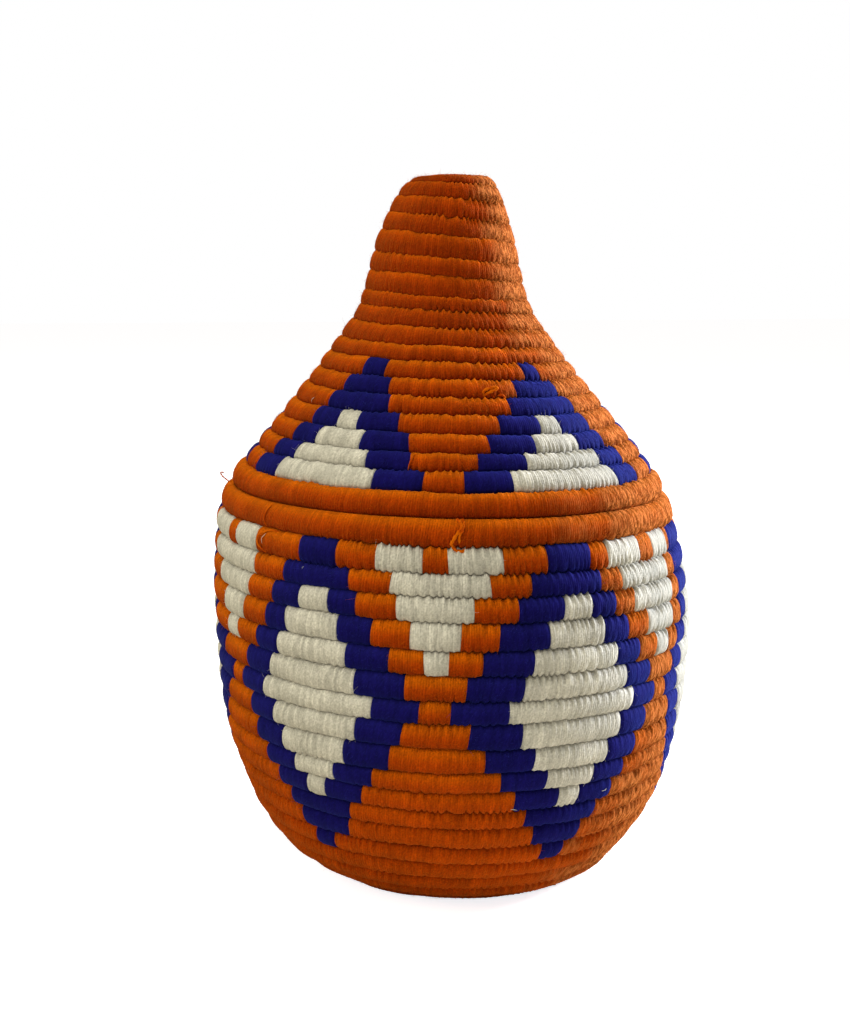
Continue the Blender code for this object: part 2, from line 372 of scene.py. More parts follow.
    def height(self) -> Socket:
        """Raise the wraps and their fibres.

        Returns:
            The socket with the height.
        """
        bench = self.bench
        ridge = bench.work("SUBTRACT", 1.0, bench.work("POWER", self.arch, self.RIDGE_POWER))
        height = bench.times(ridge, bench.work("MULTIPLY_ADD", self.tone, self.RIDGE_SPAN, self.LEAST_RIDGE))
        height = bench.work("MULTIPLY_ADD", self.streak, bench.times(self.ragged, self.STREAK_HEIGHT), height)
        tangle = bench.work("MULTIPLY_ADD", self.fibre, self.FIBRE_HEIGHT, self.tuft)
        height = bench.work("MULTIPLY_ADD", tangle, bench.work("ADD", self.ragged, self.PLAIN_TANGLE), height)
        return bench.work("ADD", height, bench.times(self.grain, self.GRAIN_HEIGHT))


@dataclass(frozen=True)
class YarnFinish:
    """The finish of one wrapped yarn: its colours with their painted shade and light, and how strongly wraps,
    creases and fibres show.
    """

    yarn: Yarn
    color: Color
    # shade and light are partly painted: shade for the lower part of each round and the creases, light for its upper
    # part; light also colours pale flecks
    shade: Color
    light: Color
    # The loose side's colour, partly stray fibres and partly a painted sheen
    fuzz: Color
    flecks: float
    # Shares of painted shade at the edges of a round and between the wraps
    creases: float
    contrast: float
    relief: float
    # raggedness also deepens the painted shade in the gaps of loose yarn
    raggedness: float
    sheen: float
    sheen_tint: Color
    # Shares of painted shade low on each round and painted highlight high on it
    lower_shade: float
    upper_light: float
    roughness: float = 0.85
    specular: float = 0.03
    sheen_roughness: float = 0.45

    def material(self, group: bpy.types.NodeTree) -> bpy.types.Material:
        """Make the material of the wound yarn.

        Args:
            group: The shared node group of the wraps.

        Returns:
            The material.
        """
        material, bench, shader = start_material(self.yarn.value)
        wraps = bench.add("ShaderNodeGroup", node_tree=group)
        for name, color in (("Yarn", self.color), ("Shade", self.shade), ("Light", self.light), ("Fuzz", self.fuzz)):
            wraps.inputs[name].default_value = (*color, 1.0)
        for name, value in (("Fleck Share", self.flecks), ("Crease Share", self.creases),
                            ("Wrap Contrast", self.contrast), ("Lower Shade", self.lower_shade),
                            ("Upper Light", self.upper_light), ("Raggedness", self.raggedness)):
            wraps.inputs[name].default_value = value
        normal = bench.fill(bench.add("ShaderNodeBump"), Strength=1.0, Distance=self.relief,
                            Height=wraps.outputs["Height"])
        bench.feed(shader.inputs["Base Color"], wraps.outputs["Color"])
        bench.feed(shader.inputs["Normal"], normal)
        self.dress_plain(shader)
        return material

    def fibre_material(self) -> bpy.types.Material:
        """Make the material of single stray fibres, a little lighter than the wound yarn."""
        material, bench, shader = start_material(f"{self.yarn.value}_fibre")
        tone = bench.noise(bench.add("ShaderNodeTexCoord").outputs["Object"], scale=260.0, detail=2.0)
        share = bench.ramp(tone, low=0.35, high=0.65, end=0.6)
        bench.feed(shader.inputs["Base Color"], bench.blend(share, (*self.color, 1.0), (*self.light, 1.0)))
        self.dress_plain(shader)
        return material

    def dress_plain(self, shader: bpy.types.Node) -> None:
        """Give a shader the yarn's constant values."""
        for name, value in (("Roughness", self.roughness), ("Specular IOR Level", self.specular),
                            ("Sheen Weight", self.sheen), ("Sheen Roughness", self.sheen_roughness),
                            ("Sheen Tint", (*self.sheen_tint, 1.0))):
            shader.inputs[name].default_value = value


# Each finish's shade, light and loose-side colours are partly painted shade, highlight and sheen
FINISHES = (
    YarnFinish(
        Yarn.ORANGE, color=(0.46, 0.057, 0.0003), shade=(0.18, 0.010, 0.0001), light=(0.70, 0.165, 0.001),
        fuzz=(0.94, 0.300, 0.085), flecks=0.22, creases=0.42, contrast=0.12, relief=0.36 * MM, raggedness=3.0,
        sheen=0.24, sheen_tint=(1.0, 0.46, 0.08), lower_shade=0.74, upper_light=0.60,
    ),
    YarnFinish(
        Yarn.BLUE, color=(0.0055, 0.0036, 0.098), shade=(0.0020, 0.0012, 0.036), light=(0.036, 0.046, 0.42),
        fuzz=(0.010, 0.018, 0.18), flecks=0.16, creases=0.45, contrast=0.02, relief=0.08 * MM, raggedness=0.8,
        sheen=0.26, sheen_tint=(0.09, 0.16, 1.0), lower_shade=0.40, upper_light=0.08,
    ),
    YarnFinish(
        Yarn.WHITE, color=(0.57, 0.562, 0.540), shade=(0.27, 0.252, 0.225), light=(0.76, 0.755, 0.745),
        fuzz=(0.38, 0.390, 0.385), flecks=0.22, creases=0.48, contrast=0.08, relief=0.20 * MM, raggedness=0.2,
        sheen=0.12, sheen_tint=(1.0, 1.0, 1.0), lower_shade=0.32, upper_light=0.22,
    ),
)


# ---------------------------------------------------------------- the outline and the coils


def smooth_share(share: Array) -> Array:
    """Return shares from 0 to 1, eased at both ends."""
    return share * share * (3.0 - 2.0 * share)


def unit(vectors: Array) -> Array:
    """Return vectors at length one."""
    return vectors / np.linalg.norm(vectors, axis=-1, keepdims=True)


class Outline:
    """The outer outline from the middle of the base to the middle of the crown, read by length along it."""

    STEPS = 60
    LEAN_HEIGHTS = (0.0, 0.012, 0.035, 0.060, 0.100, 0.120, 0.145, 0.170, 0.215, 0.240, 0.258, 0.269, 0.2725)
    LEANS = (0.0006, 0.0002, 0.0005, -0.0001, 0.0, -0.0012, -0.0034, -0.0030, -0.0031, -0.0026, -0.0017, -0.0006,
             0.0002)
    TRIM_HEIGHTS = (0.0, 0.020, 0.040, 0.050, 0.062, 0.080, 0.100, 0.122, 0.140, 0.151, 0.162, 0.180, 0.202,
                    0.212, 0.222, 0.240, 0.250, 0.260, 0.2725)
    TRIMS = (-0.0009, -0.0006, -0.0001, 0.0003, 0.0010, 0.0006, 0.0001, 0.0008, 0.0004, 0.0, 0.0014, 0.0008, 0.0012,
             0.0010, -0.0003, -0.0005, -0.0004, 0.0002, 0.0003)
    TILT = -1.2 * MM
    FOOT_SHIFT = 2.8 * MM
    FOOT_LENGTH = 0.057
    FOOT_REACH = 0.016
    CLOSE = 3e-6
    STILL_BASE = 0.040
    BASE_FADE = 0.040
    STILL_CROWN = 0.012
    CROWN_FADE = 0.030

    def __init__(self, start_height: float, places: tuple[tuple[float, float], ...]) -> None:
        """Lay a smooth curve through the places, level in its first and last stretch.

        Args:
            start_height: The height of the first point, on the Z axis.
            places: The radius of each further place and its rise from the last.
        """
        corners = [Vector((0.0, start_height, 0.0))]
        for radius, rise in places:
            corners.append(Vector((radius, corners[-1].y + rise, 0.0)))
        level = Vector((1.0, 0.0, 0.0))
        courses = [(after - before).normalized() for before, after in zip(corners, corners[2:])]
        courses = [level, level, *courses[1:-1], -level, -level]
        points = [corners[0]]
        for start, end, leaving, arriving in zip(corners, corners[1:], courses, courses[1:]):
            reach = (end - start).length / 3.0
            handles = start + leaving * reach, end - arriving * reach
            points += interpolate_bezier(start, *handles, end, self.STEPS)[1:]
        self.points = np.array([(point.x, point.y) for point in points])
        steps = np.diff(self.points, axis=0)
        self.lengths = np.concatenate([[0.0], np.cumsum(np.hypot(*steps.T))])
        self.total = float(self.lengths[-1])
        courses = np.gradient(self.points, axis=0)
        self.courses = courses / np.hypot(*courses.T)[:, None]

    def length_at(self, radius: float) -> float:
        """Return the length along the outline at the last place that is as wide as the radius."""
        return float(self.lengths[np.nonzero(self.points[:, 0] >= radius - self.CLOSE)[0].max()])

    def radius(self, lengths: Array) -> Array:
        """Return the outline's radius at lengths along it."""
        return np.interp(lengths, self.lengths, self.points[:, 0])

    def height(self, lengths: Array) -> Array:
        """Return the outline's height at lengths along it."""
        return np.interp(lengths, self.lengths, self.points[:, 1])

    def course(self, lengths: Array) -> list[Array]:
        """Return the outline's course at lengths along it, outwards and up."""
        return [np.interp(lengths, self.lengths, part) for part in self.courses.T]

    def lean(self, heights: Array) -> Array:
        """Return how far the basket leans aside at heights."""
        return np.interp(heights, self.LEAN_HEIGHTS, self.LEANS)

    def place(self, lengths: Array, angles: Array, outwards: Array) -> Array:
        """Find points on the wall of the basket, with its hand-made tilt and lean.

        Args:
            lengths: Lengths along the outline.
            angles: Angles round +Z in radians.
            outwards: Distances out of the outline, negative towards the inside.

        Returns:
            The points, with a last axis of three.
        """
        base_fade = np.clip((lengths - self.STILL_BASE) / self.BASE_FADE, 0.0, 1.0)
        crown_fade = np.clip((self.total - self.STILL_CROWN - lengths) / self.CROWN_FADE, 0.0, 1.0)
        lengths = lengths + self.TILT * np.cos(angles) * base_fade * crown_fade
        height = self.height(lengths)
        along_r, along_z = self.course(lengths)
        radius = self.radius(lengths) + np.interp(height, self.TRIM_HEIGHTS, self.TRIMS)
        foot = np.clip(1.0 - ((lengths - self.FOOT_LENGTH) / self.FOOT_REACH) ** 2, 0.0, 1.0)
        radius = radius + self.FOOT_SHIFT * foot * np.cos(angles)
        radius = radius + along_z * outwards
        height = height - along_r * outwards
        return np.stack([radius * np.cos(angles) + self.lean(height), radius * np.sin(angles), height], axis=-1)


class Waver:
    """A smooth unsteady value from -1 to 1 along a length, as a hand leaves it."""

    SPARE_VALUES = 4
    END_MARGIN = 2.001

    def __init__(self, seed: int, wave: float, reach: float) -> None:
        """Draw the values.

        Args:
            seed: The seed of the draw.
            wave: The length from one drawn value to the next.
            reach: The whole length that is covered.
        """
        self.wave = wave
        self.values = np.random.default_rng(seed).uniform(-1.0, 1.0, int(reach / wave) + self.SPARE_VALUES)

    def __call__(self, lengths: Array) -> Array:
        """Return the values at lengths."""
        steps = np.clip(lengths / self.wave, 0.0, len(self.values) - self.END_MARGIN)
        low = steps.astype(int)
        share = smooth_share(steps - low)
        return self.values[low] * (1.0 - share) + self.values[low + 1] * share


@dataclass
class Coil:
    """A spiral coil, measured in turns from its start, and the habits of the hand that wound it."""

    outline: Outline
    seam: float
    heading: int
    knot: float
    fill_turns: int
    rows: int
    row_height: float
    rim_height: float
    rim_start: float
    depth: float
    rim_depth: float
    seed: int
    trims: tuple[float, ...] = ()
    rim_proud: float = 0.8 * MM
    groove: float = 2.8 * MM
    seat_rise: float = 1.7 * MM
    inner_groove: float = 2.2 * MM
    tip_height: float = 1.0 * MM
    tip_depth_share: float = 0.60
    taper_angle: float = 60.0
    overlap: float = 0.10 * MM
    pitch: float = 0.90 * MM
    tooth_pitch: float = 2.75 * MM
    front_part: float = field(init=False)
    turns: int = field(init=False)

    LOWER_EDGE = -1.0
    SLANT = -0.11
    LEANS = {"lean": 0.08, "long_lean": 0.03, "short_lean": 0.04}
    LEAST_RADIUS = 2.0 * MM
    LEAST_BEND = 4.0 * MM
    LEAST_SIZE = 0.10
    ROUGH_SIDE = math.radians(-28.0)
    TOOTH_HEIGHT = 0.52 * MM
    TOOTH_ROUNDNESS = 0.65
    TOOTH_SIZE = (0.36, 0.60, 0.55)
    TOOTH_LIMITS = (0.05, 1.45)
    TOOTH_DRIFT = 1.05
    TOOTH_GRAIN = 0.42
    FULL_TEETH = 0.040
    WOBBLE = 0.32 * MM
    LUMPS = 0.08 * MM
    SWELL = 0.30 * MM
    PINCH = 0.45 * MM
    PINCH_SHARE = 0.05
    LOBE_HEIGHT = 0.33 * MM
    LOBE_START = 0.10
    LOBE_REACH = 0.55
    LEAST_LOBES = 0.2
    RIM_RELIEF = 1.9
    RIM_GROOVE = 1.35
    RIM_LOBES = (0.12, 0.75)
    WAVERS = {"wobble": 24.0, "bulge": 11.0, "lean": 5.0, "long_lean": 33.0, "tooth_drift": 9.0, "tooth_size": 36.0,
              "tooth_grain": 1.2, "wrap_drift": 17.0, "short_lean": 1.7, "lump": 5.0}

    def __post_init__(self) -> None:
        """Divide the outline among the turns, and lay out everything that wavers along the coil."""
        self.turns = self.fill_turns + self.rows + 1
        self.front_part = self.part_turn(math.radians(FRONT))
        self.tip = max(self.rim_height - self.row_height, self.tip_height)
        filled = self.rim_start - (self.rows + self.front_part) * self.row_height
        self.fill_height = (filled - self.knot - self.tip) / (self.fill_turns - 1)
        self.counted = np.linspace(-1.0, self.turns + 2.0, FINE_STEPS)
        radii = np.maximum(self.outline.radius(self.up(self.plain_boundary(self.counted + 0.5))), self.LEAST_RADIUS)
        self.wound = np.concatenate([[0.0], np.cumsum(math.tau * radii[:-1] * np.diff(self.counted))])
        self.wavers = {
            name: Waver(self.seed + order, wave * MM, float(self.wound[-1]))
            for order, (name, wave) in enumerate(self.WAVERS.items())
        }

    def up(self, lengths: Array) -> Array:
        """Return lengths along the coil's own wall as lengths up the outline."""
        return lengths

    def part_turn(self, angles: Array) -> Array:
        """Return the part of a turn that the coil has made past its seam at angles in radians."""
        return ((np.degrees(angles) - self.seam) * self.heading / 360.0) % 1.0

    def angle(self, turns: Array) -> Array:
        """Return the angles in radians that the coil has reached after turns."""
        return np.radians(self.seam + self.heading * 360.0 * turns)

    def run(self, turns: Array) -> Array:
        """Return the length of coil that is wound after turns."""
        return np.interp(turns, self.counted, self.wound)

    def waver(self, name: str, run: Array) -> Array:
        """Return one of the coil's wavering values, from -1 to 1, at lengths of coil."""
        return self.wavers[name](run)

    def plain_boundary(self, turns: Array) -> Array:
        """Return where the starting edge lies after turns, as the frame has it."""
        filled = np.clip(turns, 1.0, self.fill_turns) - 1.0
        rows = np.maximum(turns - self.fill_turns, 0.0)
        further = self.knot + self.tip + filled * self.fill_height + rows * self.row_height
        return np.where(turns < 1.0, self.knot, further)

    def groove_depth(self, radius: Array) -> Array:
        """Return how deep the grooves between the rounds are where the coil has a radius."""
        return np.full_like(radius, self.groove)

    def roughness(self, turns: Array) -> Array:
        """Return how loosely the yarn is wound after turns, from -1 to 1 on the roughest side."""
        return np.cos(self.angle(turns) - self.ROUGH_SIDE)

    def teeth(self, turns: Array) -> Array:
        """Cut the teeth of the starting edge.

        Args:
            turns: Counts of turns.

        Returns:
            How far the teeth reach there, from about -1 to 1.
        """
        run = self.run(turns)
        phase = run / self.tooth_pitch + self.TOOTH_DRIFT * self.waver("tooth_drift", run)
        plain, swing, side = self.TOOTH_SIZE
        size = plain + swing * self.waver("tooth_size", run) + side * self.roughness(turns)
        wave = -self.LOWER_EDGE * (1.0 - 2.0 * np.abs(np.sin(math.pi * phase)) ** self.TOOTH_ROUNDNESS)
        return np.clip(size, *self.TOOTH_LIMITS) * wave + self.TOOTH_GRAIN * self.waver("tooth_grain", run)

    def boundary(self, turns: Array) -> Array:
        """Find the wavering, toothed starting edge.

        Args:
            turns: Counts of turns.

        Returns:
            The edge's lengths along the coil's own wall.
        """
        plain = self.plain_boundary(turns)
        run = self.run(turns)
        size = np.clip(self.outline.radius(self.up(plain)) / self.FULL_TEETH, 0.0, 1.0)
        size = np.where(turns < 1.0, 0.0, size)
        rows_down = self.turns - 1.0 + self.front_part - turns
        trim = np.interp(rows_down, np.arange(len(self.trims)), self.trims) if self.trims else 0.0
        uneven = self.TOOTH_HEIGHT * self.teeth(turns) + self.WOBBLE * self.waver("wobble", run)
        return plain + trim + size * (uneven + self.LUMPS * self.waver("lump", run))

    def edges(self, turn: int, turns: Array) -> tuple[Array, Array]:
        """Find a turn's two edges.

        Args:
            turn: The turn's number, from 0.
            turns: Counts of turns at which the edges are wanted.

        Returns:
            The lengths of the starting and the ending edge along the coil's own wall.
        """
        return self.boundary(turns), self.boundary(turns + 1.0)

    def across_at(self, turn: int, turns: Array, across: Array) -> Array:
        """Return the lengths up the outline at places across a turn, from -1 to 1 between its edges."""
        start, end = self.edges(turn, turns)
        return self.up((start + end) / 2.0 + (end - start) / 2.0 * across)

    def thinning(self, turns: Array) -> Array:
        """Return the share of its full size that the rim has, as it thins out to its tip."""
        return np.clip((self.turns - turns) * 360.0 / self.taper_angle, 0.0, 1.0)

    def ridges(self, turns: Array, across: Array, radius: Array, lobes: float, rim: bool) -> Array:
        """Raise lobes behind the teeth, along both edges of a turn.

        Args:
            turns: Count of turns at each point.
            across: Place of each section point between the edges, from -1 to 1.
            radius: The coil's radius at each section.
            lobes: How strongly the lobes stand out.
            rim: True for the rim, whose lobes show on its rough side only.

        Returns:
            The height of the lobes, negative in the creases between them.
        """
        near_start, near_end = (
            np.clip((side * across - self.LOBE_START) / self.LOBE_REACH, 0.0, 1.0)[None, :] for side in (-1.0, 1.0))
        ridges = -self.teeth(turns) * near_start + self.teeth(turns + 1.0) * near_end
        ridges = lobes * ridges * np.clip(radius / self.FULL_TEETH, self.LEAST_LOBES, 1.0)[:, None]
        if rim:
            least, more = self.RIM_LOBES
            ridges = ridges * (least + more * np.clip(self.roughness(turns), 0.0, 1.0) ** 2)
        return ridges

    def surface(self, turn: int, stations: Array, relief: Array, across: Array, rise: Array, inside: Array,
                pinch: Array, lobes: float) -> tuple[Array, Array]:
        """Lay the surface of a turn.

        Args:
            turn: The turn's number.
            stations: Counts of turns at which the sections stand.
            relief: How far each section stands out, on the back of a wrap or in a furrow between two.
            across: Place of each section point between the edges, from -1 to 1.
            rise: How far each section point stands up from the groove, from 0 to 1.
            inside: True for the section points on the inside of the wall.
            pinch: How much each station is drawn in, from 0 to 1.
            lobes: How strongly the lobes behind the teeth stand out.

        Returns:
            The points, and how deep in a crease between teeth each of them lies.
        """
        radius = np.maximum(self.outline.radius(self.up(self.plain_boundary(stations + 0.5))), self.LEAST_BEND)
        run = self.run(stations)
        slant = self.SLANT + sum(share * self.waver(name, run) for name, share in self.LEANS.items())
        shift = (slant * self.row_height / 2.0 / (math.tau * radius))[:, None] * across[None, :]
        turns = stations[:, None] + shift
        start, end = self.edges(turn, turns)
        rim = turn == self.turns - 1
        wide = end - start + 2.0 * self.overlap
        full = self.rim_height if rim else self.row_height
        size = np.clip(wide / (full + 2.0 * self.overlap), self.LEAST_SIZE, 1.0)
        drawn = 1.0 - self.PINCH_SHARE * pinch[:, None]
        relief = relief[:, None]
        if rim:
            relief = relief * (1.0 + self.RIM_RELIEF * np.clip(self.roughness(stations), 0.0, 1.0) ** 2)[:, None]
        lengths = (start + end) / 2.0 + (wide / 2.0 * drawn + relief) * across[None, :]
        share = self.tip_depth_share + (1.0 - self.tip_depth_share) * self.thinning(turns)
        deep = (self.rim_depth if rim else self.depth) * share
        proud = (self.rim_proud * share) if rim else 0.0
        groove = self.groove_depth(radius)[:, None] * size * (self.RIM_GROOVE if rim else 1.0)
        swell = self.SWELL * self.waver("bulge", self.run(turns)) - self.PINCH * pinch[:, None]
        outer = proud - groove * (1.0 - rise[None, :]) + rise[None, :] * (swell + relief)
        ridges = self.ridges(turns, across, radius, lobes, rim)
        outer = outer + self.LOBE_HEIGHT * ridges
        inner = -deep + self.inner_groove * size * (1.0 - rise[None, :]) - relief * rise[None, :]
        outwards = np.where(inside[None, :], inner, outer)
        points = self.outline.place(self.up(lengths), self.angle(turns), outwards)
        return points, np.clip(-ridges, 0.0, 1.0) * (~inside[None, :])


class PotCoil(Coil):
    """The coil of the pot, whose starting edges are the lower ones."""

    def edges(self, turn: int, turns: Array) -> tuple[Array, Array]:
        """Find a turn's lower and upper edge; the rim's upper edge has no teeth."""
        start = self.boundary(turns)
        if turn < self.turns - 1:
            return start, self.boundary(turns + 1.0)
        full = self.rim_height + self.seat_rise - self.tip
        return start, self.plain_boundary(turns) + self.tip + full * self.thinning(turns) - self.overlap

    def seat(self, angles: Array) -> Array:
        """Return the length along the outline of the rim's top edge at angles in radians."""
        rim = self.turns - 1
        return self.edges(rim, rim + self.part_turn(angles))[1]

    def surface(self, *args: object) -> tuple[Array, Array]:
        """Lay the surface of a turn, with its underside flat where the basket stands on it."""
        points, crease = super().surface(*args)
        points[..., 2] = np.maximum(points[..., 2], 0.0)
        return points, crease


@dataclass
class LidCoil(Coil):
    """The coil of the lid, whose starting edges are the upper ones. Its rim sits on the pot's rim."""

    LOWER_EDGE = 1.0
    SLANT = 0.0
    FULL_TEETH = 0.022
    LUMPS = 0.26 * MM
    NECK_RADII = (0.028, 0.050)
    NECK_GROOVES = (0.60, 1.0)
    SEAT_OVERLAPS = 2.6
    pot: PotCoil | None = None

    def groove_depth(self, radius: Array) -> Array:
        """Return how deep the grooves are: less on the neck, where the yarn bridges them."""
        return self.groove * np.interp(radius, self.NECK_RADII, self.NECK_GROOVES)

    def up(self, lengths: Array) -> Array:
        """Return lengths down from the crown as lengths up the outline."""
        return self.outline.total - lengths

    def edges(self, turn: int, turns: Array) -> tuple[Array, Array]:
        """Find a turn's upper and lower edge; the rim's lower edge lies just over the pot's rim."""
        start = self.boundary(turns)
        if turn < self.turns - 1:
            return start, self.boundary(turns + 1.0)
        return start, self.outline.total - self.pot.seat(self.angle(turns)) - self.SEAT_OVERLAPS * self.overlap


# ---------------------------------------------------------------- the pattern


@dataclass(frozen=True)
class Motif:
    """A stepped motif that is repeated round the basket, as widths in degrees for each row.

    The copies at the front have edges of their own, row by row, as the maker counted them there.
    """

    yarn: Yarn
    centres: tuple[float, ...]
    drift: float
    first_row: int
    widths: tuple[float, ...]
    notches: tuple[float, ...] = ()
    front: dict[int, tuple[tuple[float, float], ...]] = field(default_factory=dict)

    HALF_ROW = 0.5
    LEAST_NOTCH = 1.5

    def spans(self, coil: Coil, first_turn: int, downwards: bool) -> Spans:
        """Find where the motif's yarn covers the coil.

        Args:
            coil: The coil that carries it.
            first_turn: The turn of row 1.
            downwards: True where later rows come on earlier turns.

        Returns:
            Pairs of counts of turns, from start to end.
        """
        found = []
        reach = 180.0 / len(self.centres)
        for row in range(1, coil.rows + 1):
            turn = first_turn + (1 - row if downwards else row - 1)
            for middle in self.centres:
                part = float(coil.part_turn(math.radians(FRONT + middle)))
                near = row + (coil.front_part - part if downwards else part - coil.front_part)
                counted = self.front.get(row, ())
                pieces = [span for span in counted if abs(sum(span) / 2.0 - middle) < reach]
                pieces = pieces or self.shape(near, middle)
                for low, high in pieces:
                    ends = [turn + part + (side - middle) * coil.heading / 360.0 for side in (low, high)]
                    found.append((min(ends), max(ends)))
        return found

    def shape(self, row: float, middle: float) -> Spans:
        """Find the motif's spans on a row that may lie between two counted ones.

        Args:
            row: The row's place.
            middle: The angle of the motif's middle in degrees.

        Returns:
            The spans in degrees.
        """
        places = np.arange(len(self.widths)) + self.first_row
        if row < places[0] - self.HALF_ROW or row > places[-1] + self.HALF_ROW:
            return []
        half = float(np.interp(row, places, self.widths)) / 2.0
        centre = middle + self.drift * (row - self.first_row)
        notch = float(np.interp(row, places, self.notches)) if self.notches else 0.0
        if notch > self.LEAST_NOTCH:
            return [(centre - half, centre - notch / 2.0), (centre + notch / 2.0, centre + half)]
        return [(centre - half, centre + half)]


POT_DIAMOND = Motif(
    Yarn.BLUE, (-88.0, -30.4, 29.0, 84.0, 146.0, -150.0), -0.33, 1,
    (10.6, 17.5, 23.5, 30.2, 37.5, 45.2, 51.0, 44.0, 38.7, 31.7, 25.6, 18.9, 14.0, 6.4),
    front={
        1: ((-34.5, -24.5), (23.2, 34.4), (68.0, 84.0)), 2: ((-39.1, -21.7), (18.9, 36.4), (67.6, 88.0)),
        3: ((-102.0, -79.5), (-42.7, -20.1), (15.2, 39.6), (67.5, 92.0)),
        4: ((-106.0, -78.0), (-45.2, -17.1), (10.5, 42.9), (67.5, 97.0)),
        5: ((-109.0, -75.0), (-49.0, -13.5), (6.6, 46.1), (64.0, 101.0)),
        6: ((-111.0, -66.8), (-53.6, -10.1), (3.1, 50.1), (61.5, 106.0)),
        7: ((-113.0, -61.8), (-56.4, -7.2), (-0.3, 52.6), (58.0, 109.0)),
        8: ((-110.0, -66.0), (-53.3, -11.2), (3.5, 49.6), (60.8, 105.0)),
        9: ((-108.0, -70.0), (-51.8, -14.0), (7.1, 46.7), (62.0, 101.0)),
        10: ((-48.8, -18.3), (11.0, 44.0), (64.5, 96.0)), 11: ((-46.4, -21.6), (14.2, 40.6), (68.0, 94.0)),
        12: ((-43.7, -25.5), (17.3, 36.9), (71.0, 90.0)),
        13: ((-41.7, -27.2), (19.8, 33.2)), 14: ((-39.1, -32.9), (23.5, 30.0)),
    },
)
POT_HEART = Motif(
    Yarn.WHITE, (-89.5, -30.9, 28.5, 82.0, 145.5, -150.6), -0.30, 3,
    (7.4, 14.0, 19.7, 25.0, 30.9, 24.0, 18.1, 11.7, 5.4),
    front={
        3: ((-34.5, -26.8), (25.6, 32.7)), 4: ((-38.7, -24.8), (21.5, 35.6)),
        5: ((-41.5, -23.2), (17.8, 38.8)), 6: ((-44.8, -21.4), (15.5, 42.1)),
        7: ((-47.2, -17.7), (12.2, 44.4)), 8: ((-44.1, -21.6), (15.2, 40.6)),
        9: ((-41.9, -24.9), (18.3, 37.5)), 10: ((-39.1, -28.1), (21.8, 34.2)),
        11: ((-36.3, -31.3), (25.1, 30.9)),
    },
)
POT_WEDGE = Motif(
    Yarn.WHITE, (-61.0, -1.0, 54.0, 116.0, 178.0, -119.0), -0.55, 1, (28.4, 21.7, 16.6, 10.8, 5.2),
    notches=(5.6, 0.0, 0.0, 0.0, 0.0),
    front={
        1: ((-79.0, -63.7), (-58.7, -49.1), (-15.2, -4.6), (1.0, 13.2), (39.6, 50.9), (57.0, 66.0)),
        2: ((-74.5, -49.3), (-12.1, 9.6), (42.5, 62.6)), 3: ((-69.0, -51.6), (-11.0, 5.6), (45.8, 62.6)),
        4: ((-65.0, -54.4), (-8.5, 2.3), (49.9, 61.8)), 5: ((-63.4, -57.9), (-5.8, -0.6), (52.9, 58.4)),
    },
)
LID_PEAK = Motif(
    Yarn.BLUE, (36.0, 108.0, 180.0, -108.0, -36.0), 0.0, 1, (10.5, 21.6, 28.0, 36.4, 44.0, 51.2, 60.0),
    front={
        1: ((-37.6, -25.8), (36.0, 45.0)), 2: ((-43.8, -21.6), (28.8, 49.8)),
        3: ((-47.3, -19.7), (24.0, 52.6)), 4: ((-50.3, -14.4), (18.3, 55.2)),
        5: ((-54.9, -10.1), (13.6, 57.1)), 6: ((-60.2, -9.0), (9.6, 60.8)),
        7: ((-66.0, -4.9), (5.4, 64.0)),
    },
)
LID_HEART = Motif(
    Yarn.WHITE, (36.0, 108.0, 180.0, -108.0, -36.0), 0.0, 4, (7.5, 16.5, 26.0, 33.8),
    front={
        4: ((-37.3, -29.6), (32.9, 40.3)), 5: ((-42.7, -25.6), (28.2, 44.2)),
        6: ((-48.3, -21.8), (23.5, 49.2)), 7: ((-51.9, -18.3), (18.2, 52.2)),
    },
)


# ---------------------------------------------------------------- winding the yarn


def clear_selection() -> None:
    """Leave nothing selected."""
    if bpy.context.object and bpy.context.object.mode != "OBJECT":
        bpy.ops.object.mode_set(mode="OBJECT")
    bpy.ops.object.select_all(action="DESELECT")


def laid_grid(name: str, points: Array, breaks: Array) -> Piece:
    """Add a grid and lay it as tubes, one after the other, closed round and at their ends.

    Args:
        name: The piece's name.
        points: The points of every section, one row each; the last point of a section repeats the first.
        breaks: True for each section that ends a tube.

    Returns:
        The piece, still open along its seams.
    """
    count, wide = points.shape[:2]
    clear_selection()
    bpy.ops.mesh.primitive_grid_add(x_subdivisions=wide - 1, y_subdivisions=count - 1, size=1.0)
    piece = bpy.context.object
    piece.name = name
    mesh = piece.data
    mesh.name = name
    mesh.vertices.foreach_set("co", points.reshape(-1).astype(np.float32))
    ending = np.repeat(breaks[:-1], wide - 1)
    mesh.vertices.foreach_set("select", np.zeros(len(mesh.vertices), bool))
    mesh.edges.foreach_set("select", np.zeros(len(mesh.edges), bool))
    mesh.polygons.foreach_set("select", ending)
    mesh.update()
    return piece


def read_rows(items: bpy.types.bpy_prop_collection, label: str, wide: int, kind: type = float) -> Array:
    """Read the values of a mesh's parts.

    Args:
        items: The mesh's vertices, corners or faces, or a layer's data.
        label: The property.
        wide: How many numbers it has.
        kind: Their kind.

    Returns:
        The values, one row each.
    """
    values = np.zeros(len(items) * wide, kind)
    items.foreach_get(label, values)
    return values.reshape(-1, wide)


